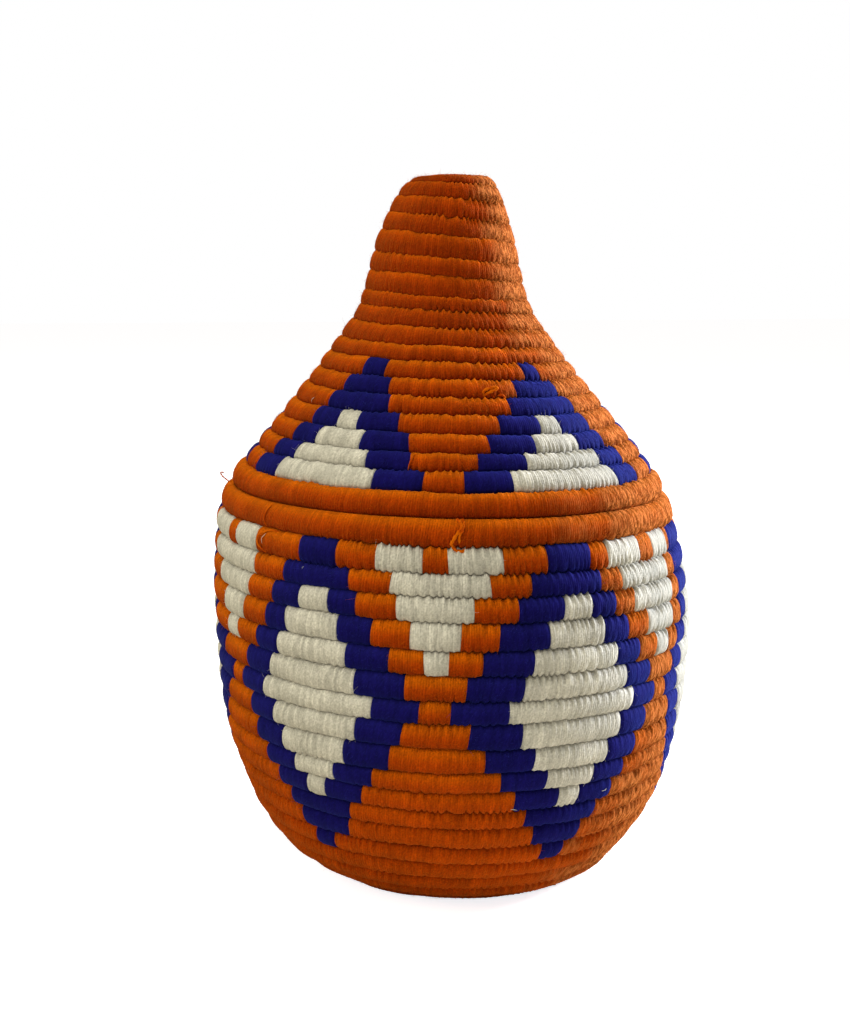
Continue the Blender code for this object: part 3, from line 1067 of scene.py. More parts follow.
def name_map(piece: Piece, wraps: Array, around: Array, *marks: Array) -> None:
    """Give a laid grid its UV map of wraps, and its marks as attributes.

    Args:
        piece: The grid.
        wraps: Count of wraps at each point.
        around: Place round the section at each point, from 0 to 1.
        marks: How deep in a crease each point lies; its share of painted shade and painted highlight, from about -1
            to 1
        by its place low or high on rounds lit from above, with more painted shade on the neck; and how loosely its
        yarn is wound from 0 to 1, which also sets a painted sheen.
    """
    mesh = piece.data
    while mesh.uv_layers:
        mesh.uv_layers.remove(mesh.uv_layers[0])
    layer = mesh.uv_layers.new(name=WRAP_MAP)
    corners = read_rows(mesh.loops, "vertex_index", 1, np.int32)[:, 0]
    uv = np.stack([wraps.reshape(-1)[corners], around.reshape(-1)[corners]], axis=-1)
    layer.data.foreach_set("uv", uv.reshape(-1).astype(np.float32))
    for label, values in zip(MARKS, marks):
        mesh.attributes.new(label, "FLOAT", "POINT").data.foreach_set("value", values.reshape(-1).astype(np.float32))


def close_tubes(piece: Piece, breaks: Array) -> None:
    """Part the tubes of a laid grid, merge their seams, close their ends and turn the faces outwards.

    Args:
        piece: The grid.
        breaks: True for each section that ends a tube.
    """
    bpy.ops.object.mode_set(mode="EDIT")
    bpy.ops.mesh.select_mode(type="FACE")
    if breaks[:-1].any():
        bpy.ops.mesh.delete(type="FACE")
    bpy.ops.mesh.select_mode(type="VERT")
    bpy.ops.mesh.select_all(action="SELECT")
    bpy.ops.mesh.remove_doubles(threshold=MERGE_DISTANCE)
    bpy.ops.mesh.fill_holes(sides=0)
    bpy.ops.mesh.select_all(action="SELECT")
    bpy.ops.mesh.normals_make_consistent(inside=False)
    bpy.ops.mesh.select_all(action="DESELECT")
    bpy.ops.object.mode_set(mode="OBJECT")
    sides = read_rows(piece.data.polygons, "loop_total", 1, np.int32)[:, 0]
    piece.data.polygons.foreach_set("use_smooth", sides <= QUAD_SIDES)
    piece.data.update()


def make_tubes(name: str, points: Array, breaks: Array, material: bpy.types.Material, *layout: Array) -> Piece:
    """Make a piece of closed tubes, one after the other.

    Args:
        name: The piece's name.
        points: The points of every section, one row each; the last point of a section repeats the first.
        breaks: True for each section that ends a tube.
        material: Its material.
        layout: The wraps, places round and marks of its points, each spread over the sections or their points.

    Returns:
        The finished piece.
    """
    piece = laid_grid(name, points, breaks)
    if layout:
        name_map(piece, *(np.array(np.broadcast_to(values, points.shape[:2])) for values in layout))
    close_tubes(piece, breaks)
    piece.data.materials.append(material)
    return piece


def round_rise(across: Array) -> Array:
    """Return how far a round stands up from its grooves at places across it, from 0 to 1."""
    return np.maximum(1.0 - np.minimum(np.abs(across), 1.0) ** BLUNTNESS, 0.0) ** (1.0 / BLUNTNESS)


def ring_round(first: Array, second: Array, bends: Array) -> Array:
    """Return points round a circle through each pair of unit vectors, at angles in radians."""
    return first[:, None] * np.cos(bends)[:, None] + second[:, None] * np.sin(bends)[:, None]


@dataclass
class Winder:
    """Winds yarn round the turns of a coil: the sections, the spans of colour and the finished pieces."""

    coil: Coil
    materials: dict[Yarn, bpy.types.Material]
    spans: dict[Yarn, Spans]
    seed: int
    splices: tuple[float, ...]
    outer_points: int = 12
    inner_points: int = 5
    back: float = 0.08 * MM
    furrow: float = 0.14 * MM

    FIRMNESS = {Yarn.ORANGE: 1.0, Yarn.BLUE: 0.15, Yarn.WHITE: 0.45}
    LOBES = {Yarn.ORANGE: 1.0, Yarn.BLUE: 0.12, Yarn.WHITE: 0.75}
    LOOSE_SIDE = math.radians(2.0)
    LOOSE_DRIFT = 0.15
    LOOSE_FROM = 0.42
    LOOSE_OVER = 0.48
    SEED_STEP = 100
    WRAP_DRIFT = 1.6
    WRAPS_A_TURN = 37
    MOST_START_WRAPS = 53
    BACK_OF_WRAP = 0.25
    LEAST_FURROW = 0.25
    FURROW_POWER = 1.5
    FIRM_RELIEF = 0.80
    LOOSE_RELIEF = 0.40
    BESIDE = 1e-4
    MIDDLE_TURN = 0.9
    LEAST_RADIUS = 6.0 * MM
    OPEN_TIP = 0.0004
    CHANGE_PINCH = (0.75 * MM, 1.0)
    SPLICE_PINCH = (0.55 * MM, 0.75)
    # Painted shade and highlight on each round fade in over LIT_HEIGHTS, where rounds are lit from above; NECK_SHADE
    # is painted shade on the neck
    LIT_HEIGHTS = (0.030, 0.090)
    NECK_HEIGHTS = (0.203, 0.217)
    NECK_SHADE = 0.50

    def __post_init__(self) -> None:
        """Lay out the section once: out from the starting edge, over to the ending one, and back inside."""
        count = self.outer_points + self.inner_points
        bends = np.concatenate([
            np.linspace(0.0, math.pi, self.outer_points), np.linspace(math.pi, 0.0, self.inner_points), [0.0]])
        self.across = -np.sign(np.cos(bends)) * np.abs(np.cos(bends)) ** (2.0 / BLUNTNESS)
        self.rise = np.abs(np.sin(bends)) ** (2.0 / BLUNTNESS)
        order = np.arange(count + 1)
        self.inside = (order >= self.outer_points) & (order < count)
        self.around = np.concatenate([
            np.linspace(0.0, 0.5, self.outer_points), np.linspace(0.5, 1.0, self.inner_points), [1.0]])

    def yarn_at(self, turns: Array) -> Array:
        """Find which yarn is wound at each place.

        Args:
            turns: Counts of turns.

        Returns:
            The yarns' order numbers: 0 orange, 1 blue, 2 white.
        """
        found = np.zeros(len(turns), int)
        for number, yarn in enumerate((Yarn.BLUE, Yarn.WHITE), start=1):
            for low, high in self.spans.get(yarn, []):
                found[(turns >= low) & (turns < high)] = number
        return found

    def looseness(self, turns: Array) -> Array:
        """Return how loosely the yarn is wound at counts of turns, from 0 to 1; it also sets the painted sheen of
        the loose side.
        """
        drift = self.LOOSE_DRIFT * self.coil.waver("tooth_drift", self.coil.run(turns))
        side = np.cos(self.coil.angle(turns) - self.LOOSE_SIDE) + drift
        return smooth_share(np.clip((side - self.LOOSE_FROM) / self.LOOSE_OVER, 0.0, 1.0))

    def wraps(self, turn: int, stations: Array) -> Array:
        """Count the wraps of a turn at its stations, starting from a number of the turn's own."""
        run = self.coil.run(stations)
        count = (run - run[0]) / self.coil.pitch + self.WRAP_DRIFT * self.coil.waver("wrap_drift", run)
        return count + float((turn * self.WRAPS_A_TURN + self.seed) % self.MOST_START_WRAPS)

    def stations(self, turn: int) -> tuple[Array, Array, Array]:
        """Place a turn's sections, one on the back of each wrap and one in each furrow between two.

        Args:
            turn: The turn's number.

        Returns:
            Counts of turns at the sections, their counts of wraps, and how far they stand out.
        """
        last = turn + 1.0 - (self.OPEN_TIP if turn == self.coil.turns - 1 else 0.0)
        fine = np.linspace(float(turn), last, FINE_STEPS)
        counts = self.wraps(turn, fine)
        marks = np.arange(math.ceil(2.0 * counts[0] + 0.5), math.floor(2.0 * counts[-1] - 0.5) + 1) / 2.0
        marks = np.concatenate([[counts[0]], marks, [counts[-1]]])
        stations = np.interp(marks, counts, fine)
        order = marks.astype(int)
        chance = np.random.default_rng(self.seed * self.SEED_STEP + turn).uniform(0.0, 1.0, (2, order.max() + 1))
        depth = self.LEAST_FURROW + (1.0 - self.LEAST_FURROW) * chance[1][order] ** self.FURROW_POWER
        relief = np.where(marks % 1.0 > self.BACK_OF_WRAP, self.back * chance[0][order], -self.furrow * depth)
        relief *= self.FIRM_RELIEF + self.LOOSE_RELIEF * self.looseness(stations)
        relief[[0, -1]] = 0.0
        return stations, marks, relief

    def tube_sections(self, mine: Array) -> tuple[Array, Array]:
        """List the sections of one yarn's tubes on a turn.

        Args:
            mine: True for each stretch between two sections that the yarn covers.

        Returns:
            The order numbers of the sections, and True for each that ends a tube.
        """
        rows, breaks = [], []
        for index in np.nonzero(mine)[0]:
            if index == 0 or not mine[index - 1]:
                rows.append(index)
                breaks.append(False)
            rows.append(index + 1)
            breaks.append(index + 1 == len(mine) or not mine[index + 1])
        return np.array(rows), np.array(breaks)

    def wind(self, name: str, turn: int) -> dict[Yarn, Piece]:
        """Wind one turn.

        Args:
            name: The CAD node that the turn stands for.
            turn: The turn's number.

        Returns:
            A finished piece for each yarn on the turn.
        """
        coil = self.coil
        middle = coil.up(coil.plain_boundary(turn + self.MIDDLE_TURN))
        radius = max(float(coil.outline.radius(middle)), self.LEAST_RADIUS)
        stations, wraps, relief = self.stations(turn)
        yarns = self.yarn_at((stations[1:] + stations[:-1]) / 2.0)
        beside = self.yarn_at(np.array([turn - self.BESIDE, turn + 1.0 + self.BESIDE]))
        changes = stations[np.diff(np.concatenate([beside[:1], yarns, beside[1:]])) != 0]
        lower = np.where(self.inside, 0.0, coil.LOWER_EDGE * self.across)
        pieces = {}
        for number, yarn in enumerate(Yarn):
            mine = yarns == number
            if not mine.any():
                continue
            rows, breaks = self.tube_sections(mine)
            places = stations[rows]
            pinch = np.zeros(len(rows))
            for spots, (reach, share) in ((changes, self.CHANGE_PINCH), (self.splices, self.SPLICE_PINCH)):
                for spot in spots:
                    away = (places - spot) * math.tau * radius
                    pinch = np.maximum(pinch, share * np.exp(-(away / reach) ** 2))
            points, crease = coil.surface(
                turn, places, relief[rows] * self.FIRMNESS[yarn], self.across, self.rise, self.inside, pinch,
                self.LOBES[yarn])
            # Painted shade on the lower part and painted highlight on the upper part of each round lit from above,
            # and painted shade on the neck
            height = points[..., 2].mean(axis=1)[:, None]
            shade = np.interp(height, self.LIT_HEIGHTS, (0.0, 1.0)) * lower
            shade = shade + np.interp(height, self.NECK_HEIGHTS, (0.0, self.NECK_SHADE))
            pieces[yarn] = make_tubes(
                f"{name}_{yarn.word}_yarn", points, breaks, self.materials[yarn], wraps[rows][:, None], self.around,
                crease, shade, self.looseness(places)[:, None])
        return pieces


# ---------------------------------------------------------------- the sub-assemblies


def settle(piece: Piece, body: str, yarn: Yarn, *nodes: str) -> None:
    """Attach a finished piece to its body, hide the nodes that it stands for, and log it.

    Args:
        piece: The piece.
        body: The body that it rides on.
        yarn: Its yarn; not used.
        nodes: The nodes that it stands for.
    """
    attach(piece, body)
    if nodes:
        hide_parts(*nodes)
    log.info("%s: %d faces on %s", piece.name, len(piece.data.polygons), body)


@dataclass
class Basketwork:
    """One body of the basket: a coil, its names turn by turn, the yarn wound round it, and its knot."""

    body: str
    winder: Winder
    names: list[str]
    knot_name: str
    knot_low: float
    knot_high: float
    knot_radius: float
    knot_wraps: float = 24.0

    KNOT_ROUNDNESS = 0.55
    KNOT_DIMPLES = ((0.05, 9.0, 1.3), (0.04, 5.0, 0.0))
    KNOT_AROUND = 0.25

    def build(self) -> None:
        """Wind every turn, and make the knot that the coil starts from."""
        for turn, name in enumerate(self.names):
            for yarn, piece in self.winder.wind(name, turn).items():
                settle(piece, self.body, yarn, name)
        self.make_knot()

    def make_knot(self) -> None:
        """Make the knot: a small button of yarn, drawn tight, with its wraps running out from the middle."""
        clear_selection()
        middle = (self.knot_low + self.knot_high) / 2.0
        bpy.ops.mesh.primitive_uv_sphere_add(
            segments=32, ring_count=14, radius=self.knot_radius, location=(0.0, 0.0, middle))
        piece = bpy.context.object
        mesh = piece.data
        piece.name = mesh.name = f"{self.knot_name}_yarn"
        bpy.ops.object.transform_apply(location=True)
        points = read_rows(mesh.vertices, "co", 3)
        lift = (points[:, 2] - middle) / self.knot_radius
        half = (self.knot_high - self.knot_low) / 2.0
        points[:, 2] = middle + half * np.sign(lift) * np.abs(lift) ** self.KNOT_ROUNDNESS
        angles = np.arctan2(points[:, 1], points[:, 0])
        dimples = (depth * np.cos(angles * count + shift) for depth, count, shift in self.KNOT_DIMPLES)
        points[:, :2] *= sum(dimples, 1.0)[:, None]
        points[:, 2] = np.maximum(points[:, 2], 0.0)
        points[:, 0] += self.winder.coil.outline.lean(points[:, 2])
        mesh.vertices.foreach_set("co", points.reshape(-1))
        layer = mesh.uv_layers[0]
        layer.name = WRAP_MAP
        uv = read_rows(layer.data, "uv", 2)
        uv[:, 0] *= self.knot_wraps
        uv[:, 1] = self.KNOT_AROUND
        layer.data.foreach_set("uv", uv.reshape(-1))
        for mark in MARKS:
            mesh.attributes.new(mark, "FLOAT", "POINT")
        bpy.ops.object.shade_smooth()
        mesh.materials.append(self.winder.materials[Yarn.ORANGE])
        settle(piece, self.body, Yarn.ORANGE, self.knot_name)


@dataclass
class Collar:
    """The collar inside the mouth: two wrapped turns under the lid's rim, which keep the lid centred."""

    lid: LidCoil
    material: bpy.types.Material
    turns: int = 2
    height: float = 0.0080
    depth: float = 0.0080
    clearance: float = 0.0015
    gap: float = 0.0003
    section_points: int = 18
    stations: int = 560
    wraps: float = 520.0
    bluntness: float = 0.9

    RUN_SHIFT = 0.05
    UNEVENNESS = 0.03
    TOOTH_PACE = 1.3
    TOOTH_START = 3.0
    SLANT = 0.10
    SLANT_RADIUS = 0.078

    def mouth_radius(self, angles: Array) -> Array:
        """Find how wide the pot's mouth is.

        Args:
            angles: Angles in radians.

        Returns:
            The radii there.
        """
        pot = self.lid.pot
        outline = pot.outline
        radii = []
        for turn, depth in ((pot.turns - 1, pot.rim_depth), (pot.turns - 2, pot.depth)):
            turns = turn + pot.part_turn(angles)
            start, end = pot.edges(turn, turns)
            share = pot.tip_depth_share + (1.0 - pot.tip_depth_share) * pot.thinning(turns)
            middle = (start + end) / 2.0
            radii.append(outline.radius(middle) - outline.course(middle)[1] * depth * share)
        return np.minimum(*radii)

    def build(self) -> None:
        """Wrap the collar's turns and hang them under the lid's rim."""
        lid, outline = self.lid, self.lid.outline
        stations = np.linspace(0.0, 1.0, self.stations + 1)
        angles = lid.angle(stations)
        seat = lid.pot.seat(angles)
        middle = seat + lid.rim_height / 2.0
        course_r, course_z = outline.course(middle)
        rim_radius = outline.radius(middle) - course_z * lid.rim_depth / 2.0
        rim_height = outline.height(middle) + course_r * lid.rim_depth / 2.0
        radius = self.mouth_radius(angles) - self.clearance - self.depth / 2.0
        reach = (lid.rim_depth + self.depth) / 2.0 + self.gap
        drop = np.sqrt(np.maximum(reach**2 - (rim_radius - radius) ** 2, 0.0))
        bends = np.linspace(0.0, math.tau, self.section_points + 1)
        wide, tall = (np.sign(side) * np.abs(side) ** self.bluntness for side in (np.cos(bends), np.sin(bends)))
        breaks = np.arange(len(stations)) == len(stations) - 1
        wraps = np.linspace(0.0, self.wraps, len(stations))[:, None]
        marks = [np.zeros(1)] * len(MARKS)
        for turn in range(self.turns):
            lift = rim_height - drop - turn * (self.height + self.gap)
            run = lid.run(lid.turns - 1 + stations) + self.RUN_SHIFT * (turn + 1)
            teeth = lid.teeth(stations * self.TOOTH_PACE + self.TOOTH_START + turn)
            half = self.height / 2.0 * (1.0 + self.UNEVENNESS * teeth)
            out = radius[:, None] + self.depth / 2.0 * wide
            rise = lift[:, None] + half[:, None] * tall
            slant = self.SLANT * lid.waver("lean", run) * self.height / 2.0 / self.SLANT_RADIUS
            slant = slant[:, None] * np.sin(bends)
            slant[[0, -1]] = 0.0
            around = angles[:, None] + slant
            tilt = outline.TILT * np.cos(around)
            points = np.stack(
                [out * np.cos(around) + outline.lean(rise), out * np.sin(around), rise + tilt], axis=-1)
            name = f"lid_collar_turn_{turn + 1}"
            piece = make_tubes(f"{name}_yarn", points, breaks, self.material, wraps, bends / math.tau, *marks)
            settle(piece, "lid", Yarn.ORANGE, name)


# ---------------------------------------------------------------- fibres and loose ends


@dataclass
class Fuzz:
    """The short fibres that stand off the wrapped yarn: fine three-sided hairs on the outside of the rounds."""

    winder: Winder
    body: str
    materials: dict[Yarn, bpy.types.Material]
    hairs: dict[Yarn, int]
    seed: int
    thickness: float = 0.045 * MM
    thinning: float = 0.75
    shortest: float = 0.35 * MM
    sunk: float = 0.05 * MM
    reach: float = 0.93
    joints: int = 3
    sides: int = 3
    most: int = 3000

    FIRST_TURN = 0.6
    SPARE_DRAWS = 6
    LENGTH_DRAW = (2.2, 0.42)
    LEAST_STAND = 0.10
    STAND_SPAN = 0.80
    STAND_POWER = 1.8
    CURLS = (-0.9, 0.4)
    LESS_REACH = 0.3

    def build(self) -> None:
        """Scatter the hairs of each yarn over the turns that it covers."""
        rng = np.random.default_rng(self.seed)
        coil = self.winder.coil
        first, last = coil.run(np.array([self.FIRST_TURN, float(coil.turns)]))
        runs = first + rng.uniform(0.0, 1.0, sum(self.hairs.values()) * self.SPARE_DRAWS) * (last - first)
        turns = np.interp(runs, coil.wound, coil.counted)
        yarns = self.winder.yarn_at(turns)
        for number, yarn in enumerate(Yarn):
            chosen = turns[yarns == number][:self.hairs[yarn]]
            for part, start in enumerate(range(0, len(chosen), self.most), start=1):
                self.scatter(f"{self.body}_{yarn.word}_fibres_{part}", yarn, chosen[start:start + self.most], rng)

    def scatter(self, name: str, yarn: Yarn, turns: Array, rng: np.random.Generator) -> None:
        """Make one piece of hairs.

        Args:
            name: The piece's name.
            yarn: The yarn that they stand off.
            turns: Where along the coil each hair grows.
            rng: The source of chance.
        """
        coil, outline = self.winder.coil, self.winder.coil.outline
        count = len(turns)
        across = rng.uniform(-self.reach, self.reach, count)
        roots, outs, alongs = (np.zeros((count, 3)) for _ in range(3))
        for turn in range(coil.turns):
            mine = np.floor(turns).astype(int) == turn
            if not mine.any():
                continue
            lengths = coil.across_at(turn, turns[mine], across[mine])
            level = -coil.groove_depth(outline.radius(lengths)) * (1.0 - round_rise(across[mine])) - self.sunk
            if turn == coil.turns - 1:
                level = level + coil.rim_proud
            angles = coil.angle(turns[mine])
            roots[mine] = outline.place(lengths, angles, level)
            outs[mine] = outline.place(lengths, angles, level + MM) - roots[mine]
            alongs[mine] = outline.place(lengths + MM, angles, level) - roots[mine]
        outs, alongs = unit(outs), unit(alongs)
        spin = rng.uniform(0.0, math.tau, count)
        lie = alongs * np.cos(spin)[:, None] + np.cross(outs, alongs) * np.sin(spin)[:, None]
        length = rng.gamma(*self.LENGTH_DRAW, count) * MM + self.shortest
        stand = self.LEAST_STAND + self.STAND_SPAN * rng.uniform(0.0, 1.0, count) ** self.STAND_POWER
        curl = rng.uniform(*self.CURLS, count)
        steps = np.linspace(0.0, 1.0, self.joints)
        track = np.zeros((count, self.joints, 3))
        for index, step in enumerate(steps):
            lifted = stand * step + curl * step * step * 0.5
            gone = step * (1.0 - self.LESS_REACH * stand)
            track[:, index] = roots + (outs * lifted[:, None] + lie * gone[:, None]) * length[:, None]
        thick = self.thickness * (1.0 - self.thinning * steps)[None, :, None, None]
        ring = ring_round(outs, np.cross(lie, outs), np.linspace(0.0, math.tau, self.sides + 1))
        points = track[:, :, None, :] + ring[:, None, :, :] * thick
        points[..., 2] = np.maximum(points[..., 2], 0.0)
        breaks = np.arange(count * self.joints) % self.joints == self.joints - 1
        piece = make_tubes(name, points.reshape(-1, self.sides + 1, 3), breaks, self.materials[yarn])
        settle(piece, self.body, yarn)


@dataclass(frozen=True)
class LooseEnd:
    """A stray piece of yarn that lies on the rounds: a tail, a loop or a wrap that has slipped.

    Its places are counts of turns, the place across the round and how far it stands off in millimetres.
    """

    name: str
    yarn: Yarn
    thickness: float
    places: tuple[tuple[float, float, float], ...]
    sides: int = 8
    steps: int = 9

    HANDLE_PART = 6.0
    TAPER_STEPS = 3.0
    THIN_END = 0.45
    STRAND_DEPTH = 0.22
    TWIST = 1.1

    def course(self, coil: Coil) -> Array:
        """Find the points of its middle line.

        Args:
            coil: The coil that it lies on.

        Returns:
            The points, smoothly joined.
        """
        spots = []
        for turns, across, lift in self.places:
            length = coil.across_at(int(turns), np.array([turns]), across)
            proud = coil.rim_proud if int(turns) == coil.turns - 1 else 0.0
            level = np.array([proud - coil.groove * (1.0 - round_rise(across)) + lift * MM])
            spots.append(Vector(coil.outline.place(length, coil.angle(np.array([turns])), level)[0]))
        spots = [spots[0], *spots, spots[-1]]
        points = []
        for before, start, end, after in zip(spots, spots[1:], spots[2:], spots[3:]):
            handles = start + (end - before) / self.HANDLE_PART, end - (after - start) / self.HANDLE_PART
            points += interpolate_bezier(start, *handles, end, self.steps)[:-1]
        return np.array([*points, spots[-1]])

    def make(self, coil: Coil, body: str, material: bpy.types.Material) -> None:
        """Make it as a thin twisted tube.

        Args:
            coil: The coil that it lies on.
            body: The body that it rides on.
            material: Its material.
        """
        course = self.course(coil)
        along = unit(np.gradient(course, axis=0))
        first = unit(np.cross(along, course * (1.0, 1.0, 0.0)))
        bends = np.linspace(0.0, math.tau, self.sides + 1)
        steps = np.arange(len(course))
        ends = np.minimum(steps, steps[::-1]) / self.TAPER_STEPS
        thick = self.thickness * np.clip(self.THIN_END + (1.0 - self.THIN_END) * ends, 0.0, 1.0)
        strand = np.cos(2.0 * bends[None, :] + self.TWIST * steps[:, None])
        size = thick[:, None] * (1.0 + self.STRAND_DEPTH * strand)
        points = course[:, None, :] + size[..., None] * ring_round(first, np.cross(first, along), bends)
        settle(make_tubes(self.name, points, steps == steps[-1], material), body, self.yarn)


POT_ENDS = (
    LooseEnd("pot_rim_tail", Yarn.ORANGE, 0.26 * MM, (
        (24.6560, 0.60, -0.3), (24.6575, 0.62, 1.5), (24.6585, 0.66, 3.5), (24.6590, 0.82, 5.2),
        (24.6580, 1.00, 5.6))),
    LooseEnd("pot_rim_slipped_wrap", Yarn.ORANGE, 0.26 * MM, (
        (24.5440, 0.72, -0.2), (24.5452, 0.25, 0.22), (24.5462, -0.45, 0.22), (24.5455, -0.95, -0.2))),
    LooseEnd("pot_row_curl", Yarn.ORANGE, 0.30 * MM, (
        (23.5330, 0.90, -0.2), (23.5400, 0.78, 0.40), (23.5465, 0.45, 0.70), (23.5492, 0.05, 0.75),
        (23.5480, -0.40, 0.60), (23.5440, -0.88, -0.1))),
    LooseEnd("pot_row_wisp", Yarn.WHITE, 0.07 * MM, (
        (23.5425, 0.50, 0.0), (23.5452, 0.12, 0.30), (23.5455, -0.30, 0.0))),
    LooseEnd("pot_rim_knot_front", Yarn.ORANGE, 0.56 * MM, (
        (24.4072, 0.92, -0.3), (24.4052, 0.55, 0.40), (24.4045, 0.22, 0.50), (24.4070, -0.20, 0.50),
        (24.4100, -0.62, 0.55), (24.4110, -0.90, 0.55), (24.4088, -1.12, 0.90), (24.4045, -1.18, 0.80),
        (24.4022, -1.02, -0.2))),
    LooseEnd("pot_rim_knot_back", Yarn.ORANGE, 0.46 * MM, (
        (24.4035, 0.95, -0.3), (24.4030, 0.45, 0.25), (24.4042, 0.05, 0.40), (24.4060, -0.30, 0.30),
        (24.4062, -0.75, -0.2))),
    LooseEnd("pot_lint_low", Yarn.WHITE, 0.09 * MM, (
        (13.3080, 0.25, 0.0), (13.3100, 0.20, 0.5), (13.3125, 0.02, 0.2))),
    LooseEnd("pot_lint_middle", Yarn.WHITE, 0.09 * MM, (
        (13.3750, -0.62, 0.1), (13.3780, -0.45, 0.5), (13.3800, -0.50, 0.1))),
    LooseEnd("pot_lint_high", Yarn.WHITE, 0.05 * MM, (
        (22.5085, 0.70, 0.0), (22.5090, 0.60, 0.35), (22.5092, 0.48, 0.0))),
)
LID_ENDS = (
    LooseEnd("lid_loop", Yarn.ORANGE, 0.54 * MM, (
        (14.4565, 0.98, -0.3), (14.4600, 0.62, 0.40), (14.4670, 0.30, 0.80), (14.4730, 0.20, 0.85),
        (14.4738, 0.44, 0.85), (14.4675, 0.64, 0.80), (14.4605, 0.96, 0.40), (14.4580, 1.02, -0.3))),
    LooseEnd("lid_tuft", Yarn.ORANGE, 0.40 * MM, (
        (14.4742, 0.92, 0.0), (14.4790, 0.84, 0.55), (14.4845, 0.99, 0.0))),
    LooseEnd("lid_sliver", Yarn.ORANGE, 0.20 * MM, (
        (18.3905, 0.96, -0.2), (18.3915, 0.50, 0.15), (18.3932, 0.00, 0.22), (18.3950, -0.60, 0.0))),
    LooseEnd("lid_lint", Yarn.WHITE, 0.08 * MM, (
        (15.2560, 0.90, 0.0), (15.2583, 0.78, 0.7), (15.2615, 0.50, 0.5))),
)


# ---------------------------------------------------------------- the studio


@dataclass(frozen=True)
class Studio:
    """A plain pale floor, soft light and the camera at the photograph's viewing angle."""

    distance: float = 0.591
    camera_height: float = 0.235
    pitch: float = 9.18
    yaw: float = -1.04
    roll: float = 0.35
    focal_pixels: float = 1490.9
    frame_height: int = 1030
    sensor: float = 36.0
    sky: float = 0.22
    aim: float = 0.13
    warm: Color = (1.0, 0.93, 0.70)

    FLOOR_SIZE = 14.0
    FLOOR_HEIGHT = -0.0002
    FLOOR_THROWS = (0.80, 0.76, 0.64, 1.0)
    FLOOR_SHOWS = (0.80, 0.80, 0.80, 1.0)
    FLOOR_GLOWS = (0.82, 0.82, 0.85, 1.0)
    SKY_THROWS = (1.0, 0.94, 0.74, 1.0)
    WHITE = (1.0, 1.0, 1.0, 1.0)
    BLACK = (0.0, 0.0, 0.0, 1.0)

    def make_floor(self) -> None:
        """Make the floor, whose colour is near white for the camera and pale for the light it throws back."""
        clear_selection()
        bpy.ops.mesh.primitive_grid_add(
            x_subdivisions=4, y_subdivisions=4, size=self.FLOOR_SIZE, location=(0.0, 0.0, self.FLOOR_HEIGHT))
        floor = bpy.context.object
        floor.name = "floor"
        material, bench, shader = start_material("floor_paper")
        seen = bench.add("ShaderNodeLightPath").outputs["Is Camera Ray"]
        bench.feed(shader.inputs["Base Color"], bench.blend(seen, self.FLOOR_THROWS, self.FLOOR_SHOWS))
        bench.feed(shader.inputs["Emission Color"], bench.blend(seen, self.BLACK, self.FLOOR_GLOWS))
        for name, value in (("Emission Strength", 1.0), ("Roughness", 1.0), ("Specular IOR Level", 0.0)):
            shader.inputs[name].default_value = value
        floor.data.materials.append(material)

    def make_sky(self) -> None:
        """Light the scene evenly, and show plain white behind it."""
        world = bpy.data.worlds.new("studio")
        bpy.context.scene.world = world
        world.use_nodes = True
        world.node_tree.nodes.clear()
        bench = NodeBench(world.node_tree)
        seen = bench.add("ShaderNodeLightPath").outputs["Is Camera Ray"]
        soft, white = (
            bench.fill(bench.add("ShaderNodeBackground"), Color=color, Strength=strength)
            for color, strength in ((self.SKY_THROWS, self.sky), (self.WHITE, 1.0)))
        mixed = bench.fill(bench.add("ShaderNodeMixShader"), seen, soft, white)
        bench.feed(bench.add("ShaderNodeOutputWorld").inputs[0], mixed)

    def add_lamp(self, name: str, place: Color, size: float, power: float, color: Color) -> None:
        """Add a soft square lamp that faces the middle of the basket.

        Args:
            name: The lamp's name.
            place: Where it stands.
            size: The length of its side.
            power: Its power in watts.
            color: Its colour.
        """
        lamp = bpy.data.lights.new(name, "AREA")
        lamp.energy = power
        lamp.size = size
        lamp.color = color
        holder = bpy.data.objects.new(name, lamp)
        bpy.context.scene.collection.objects.link(holder)
        holder.location = place
        holder.rotation_mode = "QUATERNION"
        holder.rotation_quaternion = (Vector((0.0, 0.0, self.aim)) - Vector(place)).to_track_quat("-Z", "Y")

    def make_lights(self) -> None:
        """Set the lamps: the main one from the right and behind, and weak broad ones overhead and on the left."""
        self.add_lamp("window_light", (1.36, 0.62, 0.62), size=0.60, power=58.5, color=(0.98, 0.99, 1.0))
        self.add_lamp("ceiling_light", (-0.15, -0.35, 1.75), size=1.10, power=14.3, color=self.warm)
        self.add_lamp("left_light", (-1.25, -0.60, 0.90), size=0.80, power=11.0, color=self.warm)

    def make_camera(self) -> None:
        """Make the camera."""
        data = bpy.data.cameras.new("camera")
        data.sensor_fit = "AUTO"
        data.sensor_width = self.sensor
        data.lens = self.focal_pixels / self.frame_height * self.sensor
        data.dof.use_dof = False
        camera = bpy.data.objects.new("camera", data)
        bpy.context.scene.collection.objects.link(camera)
        yaw, pitch, roll = (math.radians(angle) for angle in (self.yaw, self.pitch, self.roll))
        right = Vector((math.cos(yaw), -math.sin(yaw), 0.0))
        ahead = Vector((math.cos(pitch) * math.sin(yaw), math.cos(pitch) * math.cos(yaw), -math.sin(pitch)))
        up = Vector((math.sin(pitch) * math.sin(yaw), math.sin(pitch) * math.cos(yaw), math.cos(pitch)))
        frame_right = right * math.cos(roll) - up * math.sin(roll)
        frame_up = right * math.sin(roll) + up * math.cos(roll)
        turn = Matrix((frame_right, frame_up, -ahead)).transposed()
        camera.matrix_world = Matrix.Translation((0.0, -self.distance, self.camera_height)) @ turn.to_4x4()
        bpy.context.scene.camera = camera

